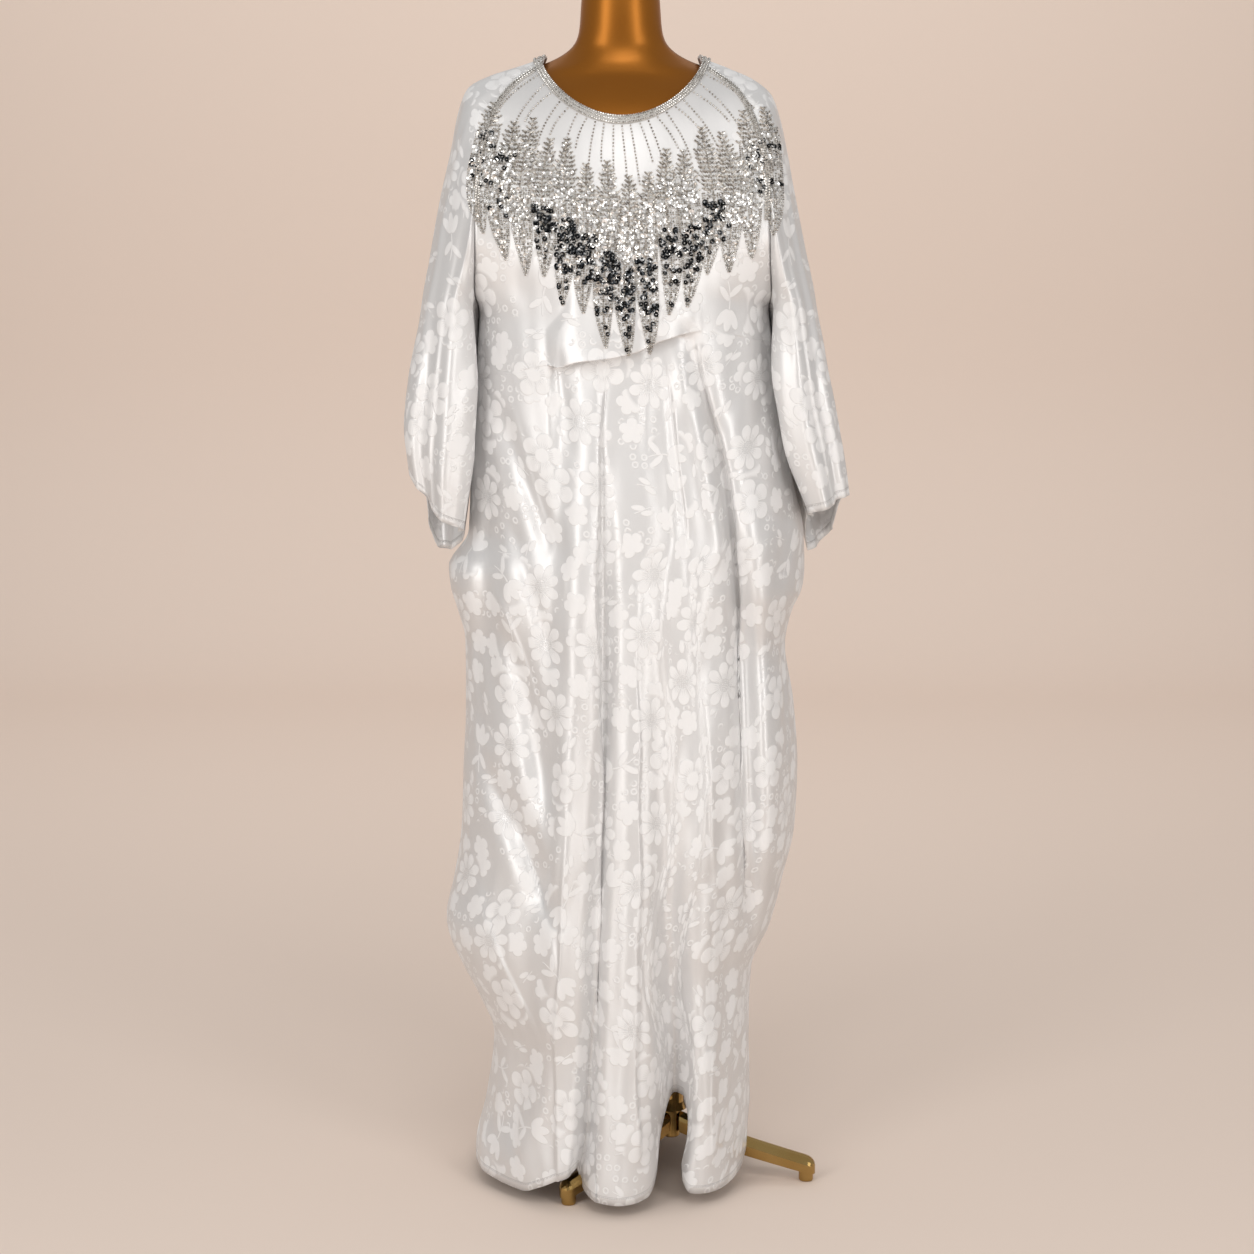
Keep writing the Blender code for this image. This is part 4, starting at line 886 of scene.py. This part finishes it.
# The back panel is cut like the front, a little higher at the neck, and hangs in soft plain folds.
# Its lower corners lift with the front's over the side leg of the stand.
back_rows = np.concatenate((np.linspace(0, RAGLAN_ROWS, 60), np.linspace(RAGLAN_ROWS, ROOT_ROW, 12)[1:],
                            ROOT_ROW + (HEM_ROW - ROOT_ROW) * np.linspace(0, 1, 91)[1:]))
back = rippled(panel(1, back_rows, 120), -1, 0.0022, 9.1)
_, back_down = cut_lengths(back)
back_panel = cloth("back_dress_panel", back, -1, 0.0, back_down[-1] - back_down, satin, upright=True)
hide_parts("back_panel")


# Each raglan sleeve is one piece over the shoulder, wide at the underarm and open at the cuff,
# with a turned and stitched edge. It is sewn to both panels along the raglan seams.
def sleeve(rings, rows, columns):
    row = np.asarray(rows, float)[:, None]
    turn = np.linspace(-1, 1, columns + 1)[None, :]
    return sleeve_point(rings, row + 0 * turn, turn * seam_turn(row))


sleeve_rows = np.concatenate((np.linspace(0, RAGLAN_ROWS, 66), np.linspace(RAGLAN_ROWS, CUFF_ROW, 52)[1:]))
sleeves = {}
for name, node, rings, outward, seed in (
        ("left_dress_sleeve", "sleeve_left", SLEEVE_LEFT, -1, 21.3),
        ("right_dress_sleeve", "sleeve_right", SLEEVE_RIGHT, 1, 33.9)):
    points = rippled(sleeve(rings, sleeve_rows, 100), outward, 0.0026, seed)
    _, down = cut_lengths(points)
    piece = cloth(name, points, outward, 0.0, down[-1] - down, satin)
    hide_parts(node)
    sleeves[node] = points


# The neckline is bound with a ribbon sewn all over with three rows of silver seed beads. It lies on
# the top edge of the panels and sleeves, all the way round.
TRIM_LIFT = 0.0011
BEAD = 0.0029
RIBBON = 0.0007
silver, silver_shader, glint = speckled_finish("silver_beads", 420.0, 1.0, (
    (0.30, (0.30, 0.28, 0.25)), (0.50, (0.62, 0.60, 0.57)), (0.66, (0.93, 0.92, 0.90))),
    Metallic=0.85, Specular_IOR_Level=0.6)
connect(0.16 + glint * 0.22, silver_shader, "Roughness")

ribbon, ribbon_shader, wire = finish_of("grey_ribbon", Sheen_Weight=0.2)
rib = speckled(wire, 900.0, 2.0)
connect(wire.flat_colour(0.50, 0.48, 0.45).colour((0.70, 0.68, 0.65, 1), rib), ribbon_shader, "Base Color")
connect(0.55 + rib * 0.2, ribbon_shader, "Roughness")


def ribbon_piece(name, line_a, line_b, normal, closed, rows=5, dome=0.0009):
    """A ribbon between two lines of points, slightly domed, standing just off the cloth."""
    share = np.linspace(0, 1, rows)[:, None, None]
    points = line_a[None] + (line_b - line_a)[None] * share
    points = points + normal[None] * (TRIM_LIFT + dome * 4 * share * (1 - share))
    if closed:
        points = np.concatenate((points, points[:, :1]), 1)
    body = bmesh.new()
    bmesh.ops.create_grid(body, x_segments=points.shape[1] - 1, y_segments=rows - 1, size=1)
    for vert, spot in zip(body.verts, points.reshape(-1, 3)):
        vert.co = spot
    bmesh.ops.remove_doubles(body, verts=body.verts[:], dist=1e-6)
    body.normal_update()
    first = next(iter(body.faces))
    if first.normal.dot(Vector(normal[0])) < 0:
        bmesh.ops.reverse_faces(body, faces=body.faces[:])
    piece = piece_of(name, body, ribbon)
    wall = piece.modifiers.new("ribbon wall", "SOLIDIFY")
    wall.thickness = RIBBON
    wall.offset = -1
    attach(piece, "root")
    return piece


def scatter(name, shape, places, material):
    """Many copies of one shape. A place is a middle, an outward way, an along way and a size."""
    corners = np.array([vert.co[:] for vert in shape.verts])
    faces = np.array([[vert.index for vert in face.verts] for face in shape.faces])
    shape.free()
    middle = np.array([spot[0] for spot in places])
    out = unit(np.array([spot[1] for spot in places]))
    along = np.array([spot[2] for spot in places])
    along = unit(along - out * (along * out).sum(-1, keepdims=True))
    aside = np.cross(out, along)
    size = np.array([spot[3] for spot in places])[:, None, None]
    turned = (corners[None, :, :1] * along[:, None] + corners[None, :, 1:2] * aside[:, None]
              + corners[None, :, 2:] * out[:, None])
    spots = middle[:, None] + turned * size
    every = faces[None] + (np.arange(len(places)) * len(corners))[:, None, None]
    mesh = bpy.data.meshes.new(name)
    mesh.from_pydata(spots.reshape(-1, 3).tolist(), [], every.reshape(-1, faces.shape[1]).tolist())
    mesh.materials.append(material)
    piece = placed(name, mesh)
    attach(piece, "root")


def bead_shape():
    bead = bmesh.new()
    bmesh.ops.create_icosphere(bead, subdivisions=1, radius=0.5)
    return bead


def beads_along(line, normal, spacing, size, closed=False):
    """Bead places at even steps along a line of points."""
    if closed:
        line, normal = np.concatenate((line, line[:1])), np.concatenate((normal, normal[:1]))
    run = np.concatenate(([0], np.cumsum(np.linalg.norm(np.diff(line, axis=0), axis=-1))))
    count = max(2, round(run[-1] / spacing))
    at = np.linspace(0, run[-1], count + 1)[:-1] if closed else np.linspace(0, run[-1], count)
    spots = np.stack([np.interp(at, run, line[:, k]) for k in range(3)], -1)
    outs = unit(np.stack([np.interp(at, run, normal[:, k]) for k in range(3)], -1))
    ways = np.gradient(spots, axis=0)
    return [(spot + out * size * 0.35, out, way, size) for spot, out, way in zip(spots, outs, ways)]


def grid_at(points, rows, row):
    """The line of points at a row that may lie between two of the grid's rows."""
    low = int(np.clip(np.searchsorted(rows, row) - 1, 0, len(rows) - 2))
    share = (row - rows[low]) / (rows[low + 1] - rows[low])
    return points[low] * (1 - share) + points[low + 1] * share


ring_top, ring_low, ring_out = [], [], []
for points, rows, outward, way in (
        (front, front_rows, 1, 1), (sleeves["sleeve_right"], sleeve_rows, 1, 1),
        (back, back_rows, -1, -1), (sleeves["sleeve_left"], sleeve_rows, -1, -1)):
    step = max(1, points.shape[1] // 60)
    keep = slice(None, None, step)
    ring_top.append(grid_at(points, rows, 0.0)[keep][::way])
    ring_low.append(grid_at(points, rows, BAND_ROW)[keep][::way])
    ring_out.append(facing(points, outward)[1][keep][::way])
ring_top, ring_low, ring_out = (np.concatenate(part) for part in (ring_top, ring_low, ring_out))
for _ in range(6):
    ring_out = unit(np.roll(ring_out, 1, 0) + 2 * unit(ring_out) + np.roll(ring_out, -1, 0))
    ring_low = (np.roll(ring_low, 1, 0) + 6 * ring_low + np.roll(ring_low, -1, 0)) / 8
neck_ribbon = ribbon_piece("neck_ribbon", ring_top, ring_low, ring_out, closed=True)
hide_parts("neck_band")
neck_places = []
for share in (0.13, 0.5, 0.87):
    line = ring_top + (ring_low - ring_top) * share + ring_out * (TRIM_LIFT + 0.0006)
    neck_places += beads_along(line, ring_out, BEAD + 0.0002, BEAD, closed=True)
scatter("neck_seed_beads", bead_shape(), neck_places, silver)


# A narrow ribbon with two rows of crystals covers each front raglan seam, from the neckline down
# to where the beadwork of the breast begins.
TRIM_WIDE = 0.0075
TRIM_START_ROW = 0.42
TRIM_END_ROW = 6.4
CRYSTAL = 0.0033
CRYSTAL_STEP = 0.0036
trim_places = []
for name, node, column_at, inward in (
        ("left_raglan_ribbon", "raglan_trim_left", 0, 3),
        ("right_raglan_ribbon", "raglan_trim_right", -1, -4)):
    keep = (front_rows >= TRIM_START_ROW) & (front_rows <= TRIM_END_ROW)
    edge, beyond = front[keep, column_at], front[keep, inward]
    out = facing(front, 1)[keep, inward]
    for _ in range(4):
        out[1:-1] = unit(out[:-2] + 2 * out[1:-1] + out[2:])
    beyond = edge + unit(beyond - edge) * TRIM_WIDE
    piece = ribbon_piece(name, edge, beyond, out, closed=False, rows=3, dome=0.0005)
    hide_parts(node)
    for share in (0.24, 0.76):
        line = edge + (beyond - edge) * share + out * (TRIM_LIFT + 0.0004)
        trim_places += beads_along(line, out, CRYSTAL_STEP, CRYSTAL)
scatter("raglan_crystals", bead_shape(), trim_places, silver)


# The breast is sewn with a fan of beaded leaves: bead strings run down from the neck band to each
# leaf, bugle beads make the upper leaves, and sequins fill the rest. The fan is a plain even one.
LEAVES = 15
STRINGS = 21
LEAF_ROOT_HALF = 0.164
LEAF_TIP_HALF = 0.176
LEAF_ROOT_Z = 1.290
LEAF_ROOT_RISE = 0.53
LEAF_TIPS = (
    (0.0, 1.072), (0.03, 1.090), (0.06, 1.124), (0.09, 1.156), (0.12, 1.175), (0.15, 1.178), (0.165, 1.198),
    (0.18, 1.235))
LEAF_HIGHER = (
    0.004, -0.008, 0.009, -0.004, 0.008, -0.010, 0.006, 0.000, -0.008, 0.008, -0.006, 0.010, -0.008, 0.006,
    -0.002)
LEAF_LONGER = (
    0.004, -0.010, 0.006, -0.004, 0.008, -0.012, 0.004, 0.000, 0.012, -0.010, 0.010, -0.006, 0.002, -0.012,
    0.006)
LEAF_BEND = 0.0030
SEED = 0.0026
SEED_STEP = 0.0031
RIM_SEED = 0.0025
RIM_BUGLE = 0.0062
BUGLE = 0.0052
FLAT_LIFT = 0.0009
BRIGHT_LIFT = 0.0024
DARK_LIFT = 0.0026
STRING_SPREAD = 0.93
STRING_STEP = 0.0040
STRING_SHORTER = 0.020
trees = []
for points in (front, sleeves["sleeve_left"], sleeves["sleeve_right"]):
    wide = points.shape[1]
    trees.append(BVHTree.FromPolygons(
        [Vector(p) for p in points.reshape(-1, 3)],
        [(r * wide + c, r * wide + c + 1, (r + 1) * wide + c + 1, (r + 1) * wide + c)
         for r in range(len(points) - 1) for c in range(wide - 1)]))


def on_front(x, z):
    """The point of the cloth at that place in the front view, and its outward direction."""
    hits = [tree.ray_cast(Vector((x, -1, z)), Vector((0, 1, 0))) for tree in trees]
    hits = [hit for hit in hits if hit[0] is not None]
    if not hits:
        return None, None
    spot, out, _, _ = min(hits, key=lambda hit: hit[3])
    return np.array(spot), np.array(out if out.y < 0 else -out)


def leaf_root(t):
    x = LEAF_ROOT_HALF * t
    return x, LEAF_ROOT_Z + LEAF_ROOT_RISE * abs(x)


def leaf_tip(t, longer):
    x = LEAF_TIP_HALF * t
    return x, float(smooth(abs(x), *zip(*LEAF_TIPS))) - longer


bright, _, _ = speckled_finish("bright_paillettes", 260.0, 0.0, (
    (0.32, (0.42, 0.39, 0.35)), (0.5, (0.80, 0.785, 0.76)), (0.62, (0.95, 0.94, 0.93))),
    Metallic=0.55, Roughness=0.12, Coat_Weight=0.6)
mirror, _, _ = speckled_finish("dark_mirror_sequins", 240.0, 0.0, (
    (0.38, (0.008, 0.009, 0.010)), (0.60, (0.028, 0.030, 0.033)), (0.74, (0.22, 0.22, 0.22))),
    Metallic=1.0, Roughness=0.14)
# The taupe glass is partly the beads' own grey-brown and partly painted shade: its dark tone stands in for
# the shade between the close-set leaf beads and along the bead strings.
taupe_and_shade, taupe_shader, flick = speckled_finish("taupe_and_shade_glass", 330.0, 1.0, (
    (0.30, (0.16, 0.135, 0.11)), (0.50, (0.42, 0.385, 0.34)), (0.68, (0.72, 0.69, 0.65))),
    Metallic=0.45, Coat_Weight=0.4)
connect(0.18 + flick * 0.2, taupe_shader, "Roughness")


def sequin_shape():
    """A cupped eight-sided disc with a hole in its middle."""
    disc = bmesh.new()
    bmesh.ops.create_circle(disc, segments=8, radius=0.5)
    made = bmesh.ops.extrude_edge_only(disc, edges=disc.edges[:])
    inner = [part for part in made["geom"] if isinstance(part, bmesh.types.BMVert)]
    bmesh.ops.scale(disc, verts=inner, vec=(0.24, 0.24, 1))
    bmesh.ops.translate(disc, verts=inner, vec=(0, 0, -0.09))
    bmesh.ops.recalc_face_normals(disc, faces=disc.faces[:])
    return disc


def bugle_shape():
    """A short glass tube."""
    tube = bmesh.new()
    bmesh.ops.create_cone(tube, cap_ends=False, segments=5, radius1=0.17, radius2=0.17, depth=1.0,
                          matrix=Matrix.Rotation(math.pi / 2, 4, "Y"))
    return tube


picker = random.Random(41)
seeds, bugles, brights, mirrors, silvers = [], [], [], [], []


def sew(kind, x, z, size, way, lift, tilt):
    """One bead or sequin on the cloth at that place in the front view, tilted by chance."""
    spot, out = on_front(x, z)
    if spot is None:
        return
    jitter = np.array([picker.gauss(0, tilt) for _ in range(3)])
    kind.append((spot + out * lift, unit(out + jitter), np.array((way[0], 0.0, way[1])), size))


spread = 2 / (LEAVES - 1)
for i in range(LEAVES):
    t = -1 + i * spread
    (root_x, root_z), (tip_x, tip_z) = leaf_root(t), leaf_tip(t, LEAF_LONGER[i])
    root_z += LEAF_HIGHER[i]
    long = math.hypot(tip_x - root_x, tip_z - root_z)
    way = ((tip_x - root_x) / long, (tip_z - root_z) / long)
    side = (-way[1], way[0])
    lean = 0.010 * t
    half = LEAF_ROOT_HALF * spread / 2
    inner_leaf, outer_leaf = abs(t) < 0.6, abs(t) > 0.8
    feather_end = 0.22 if outer_leaf else 0.30 if abs(t) < 0.5 else 0.44
    steps = int(long / SEED)
    for k in range(steps):
        s = (k + 0.5) / steps
        taper = 1.0 if s < 0.52 else max(0.0, 1 - ((s - 0.52) / 0.49) ** 2.7)
        profile = min(1.0, 0.10 + (s / 0.27) ** 0.8) * taper
        wide = half * (1.16 - 0.07 * fade(s, 0.5, 0.6)) * profile
        bend = LEAF_BEND * math.sin(6.5 * s + i)
        mid_x = root_x + (tip_x - root_x) * s + lean * math.sin(math.pi * s) + bend
        mid_z = root_z + (tip_z - root_z) * s
        feather = s < feather_end
        for edge in (-1, 1):
            x, z = mid_x + side[0] * wide * edge, mid_z + side[1] * wide * edge
            if feather and k % 2 == 0:
                reach_out = picker.uniform(0.60, 1.30)
                barb = (side[0] * edge - way[0] * 0.9, side[1] * edge - way[1] * 0.9)
                x, z = mid_x + side[0] * wide * edge * reach_out, mid_z + side[1] * wide * edge * reach_out
                sew(bugles, x, z, RIM_BUGLE, barb, 0.0010, 0.1)
            elif not feather:
                sew(silvers if s > 0.5 else seeds, x, z, RIM_SEED, way, FLAT_LIFT, 0.1)
        sew(seeds, mid_x, mid_z, SEED, way, 0.0013, 0.1)
        count = max(1, int(2 * wide / SEED_STEP))
        for j in range(count):
            off = ((j + 0.5) / count * 2 - 1) * wide * 0.93
            x = mid_x + side[0] * off + picker.uniform(-0.0005, 0.0005)
            z = mid_z + side[1] * off + picker.uniform(-0.0005, 0.0005)
            pick = picker.random()
            if feather:
                if k % 2 == 0:
                    turn = math.copysign(1, off)
                    barb = (side[0] * turn - way[0] * 0.9, side[1] * turn - way[1] * 0.9)
                    sew(bugles, x, z, BUGLE, barb, FLAT_LIFT, 0.12)
                if pick < (0.16 if s > 0.16 and abs(t) < 0.55 else 0.04):
                    sew(brights, x, z, picker.uniform(0.0044, 0.0066), way, BRIGHT_LIFT, 0.2)
                continue
            if pick < 0.86:
                sew(silvers if pick < 0.42 else seeds, x, z, SEED, way, FLAT_LIFT, 0.2)
            pick = picker.random()
            if s < (0.48 if inner_leaf else 0.66):
                if outer_leaf and pick > 0.94:
                    sew(mirrors, x, z, 0.0062, way, DARK_LIFT, 0.14)
                if pick < 0.20:
                    sew(brights, x, z, picker.uniform(0.0058, 0.0078), way, BRIGHT_LIFT, 0.20)
            elif s < 0.80:
                dark = (0.20 if s < 0.68 else 0.13) if inner_leaf else 0.02
                if pick < dark:
                    sew(mirrors, x, z, picker.uniform(0.0060, 0.0072), way, DARK_LIFT, 0.14)
                elif pick < dark + 0.08:
                    sew(brights, x, z, picker.uniform(0.0050, 0.0066), way, BRIGHT_LIFT, 0.22)
            elif pick < 0.07:
                sew(mirrors if inner_leaf else brights, x, z, 0.0058, way, BRIGHT_LIFT, 0.15)

string_places = []
neck_front = grid_at(front, front_rows, BAND_ROW)
for i in range(STRINGS):
    t = -STRING_SPREAD + 2 * STRING_SPREAD * i / (STRINGS - 1)
    start = neck_front[int(round((t + 1) / 2 * (len(neck_front) - 1)))]
    end_x, end_z = leaf_root(t * 1.03)
    end_z -= STRING_SHORTER if i % 2 else 0.0
    length = math.hypot(end_x - start[0], end_z - start[2])
    count = int(length / STRING_STEP)
    for k in range(count):
        s = (k + 0.6) / count
        x = start[0] + (end_x - start[0]) * s + 0.006 * t * math.sin(math.pi * s)
        z = start[2] + (end_z - start[2]) * s
        spot, out = on_front(x, z)
        if spot is not None:
            string_places.append((spot + out * 0.0010, out, (end_x - start[0], 0, end_z - start[2]), SEED))
# The strings, seed beads and bugles take the taupe glass, whose dark tone is partly painted shade.
scatter("bead_strings", bead_shape(), string_places, taupe_and_shade)
scatter("leaf_seed_beads", bead_shape(), seeds, taupe_and_shade)
scatter("leaf_silver_beads", bead_shape(), silvers, silver)
scatter("leaf_bugle_beads", bugle_shape(), bugles, taupe_and_shade)
scatter("bright_paillettes", sequin_shape(), brights, bright)
scatter("mirror_sequins", sequin_shape(), mirrors, mirror)


# The dress form is a hollow moulded torso with a neck and no limbs, lacquered in bronze. Only its
# neck and breast show above the dress.
SHOULDER_Z = 1.43
NECK_ROOT_Z = (1.405, 1.51)
NECK_SLIM = 0.16
NECK_SLIM_Z = 1.458
NECK_SLIM_REACH = 0.024
bronze, bronze_shader, wire = finish_of(
    "bronze_lacquer", Metallic=0.75, Coat_Weight=0.04, Coat_Roughness=0.22, Specular_IOR_Level=0.25)
cloud = speckled(wire, 7.0, 3.0)
fleck = speckled(wire, 700.0, 1.0)
lacquer = wire.flat_colour(0.285, 0.096, 0.009).colour((0.36, 0.130, 0.015, 1), cloud)
lacquer = lacquer.colour((0.38, 0.150, 0.022, 1), fleck * 0.25)
height = wire.node("ShaderNodeTexCoord", output=3).parts(3)[2]
# Painted shade: the lacquer darkens a little on the breast below the neck, standing in for the shade that
# falls there.
lacquer = lacquer.colour((0.085, 0.024, 0.002, 1), height.below(1.50, 0.10) * 0.12)
connect(lacquer, bronze_shader, "Base Color")
connect(0.30 + cloud * 0.08 + fleck * 0.04, bronze_shader, "Roughness")
moulded = bmesh.new()
moulded.from_mesh(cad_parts["form_body"].data)
bmesh.ops.remove_doubles(moulded, verts=moulded.verts[:], dist=1e-5)
bmesh.ops.join_triangles(moulded, faces=moulded.faces[:], angle_face_threshold=math.radians(50),
                         angle_shape_threshold=math.radians(50))
neck_root = [vert for vert in moulded.verts if NECK_ROOT_Z[0] < vert.co.z < NECK_ROOT_Z[1]]
for _ in range(6):
    bmesh.ops.smooth_vert(
        moulded, verts=neck_root, factor=0.5, use_axis_x=True, use_axis_y=True, use_axis_z=False)
neck_x, neck_y = (sum(vert.co[k] for vert in neck_root) / len(neck_root) for k in range(2))
for vert in moulded.verts:
    if vert.co.z > SHOULDER_Z:
        slimmer = 1 - NECK_SLIM * math.exp(-((vert.co.z - NECK_SLIM_Z) / NECK_SLIM_REACH) ** 2)
        vert.co.x = neck_x + (vert.co.x - neck_x) * slimmer
        vert.co.y = neck_y + (vert.co.y - neck_y) * slimmer
torso = piece_of("bronze_torso", moulded, bronze)
rounding = torso.modifiers.new("rounding", "SUBSURF")
rounding.levels = rounding.render_levels = 2
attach(torso, "root")
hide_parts("form_body")


# The stand is polished brass: a turned post with its flange, a socket hub with a grub screw, and
# three cast legs with rounded backs. It is slightly tarnished in patches.
brass, brass_shader, wire = finish_of("polished_brass", Metallic=1.0)
tarnish = speckled(wire, 30.0, 4.0)
yellow = wire.flat_colour(0.50, 0.345, 0.135)
connect(yellow.colour((0.34, 0.205, 0.062, 1), tarnish), brass_shader, "Base Color")
connect(0.10 + tarnish * 0.16, brass_shader, "Roughness")
for node in ("pole", "hub", "set_screw", "leg_front", "leg_side", "leg_back"):
    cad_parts[node].data.materials.clear()
    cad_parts[node].data.materials.append(brass)
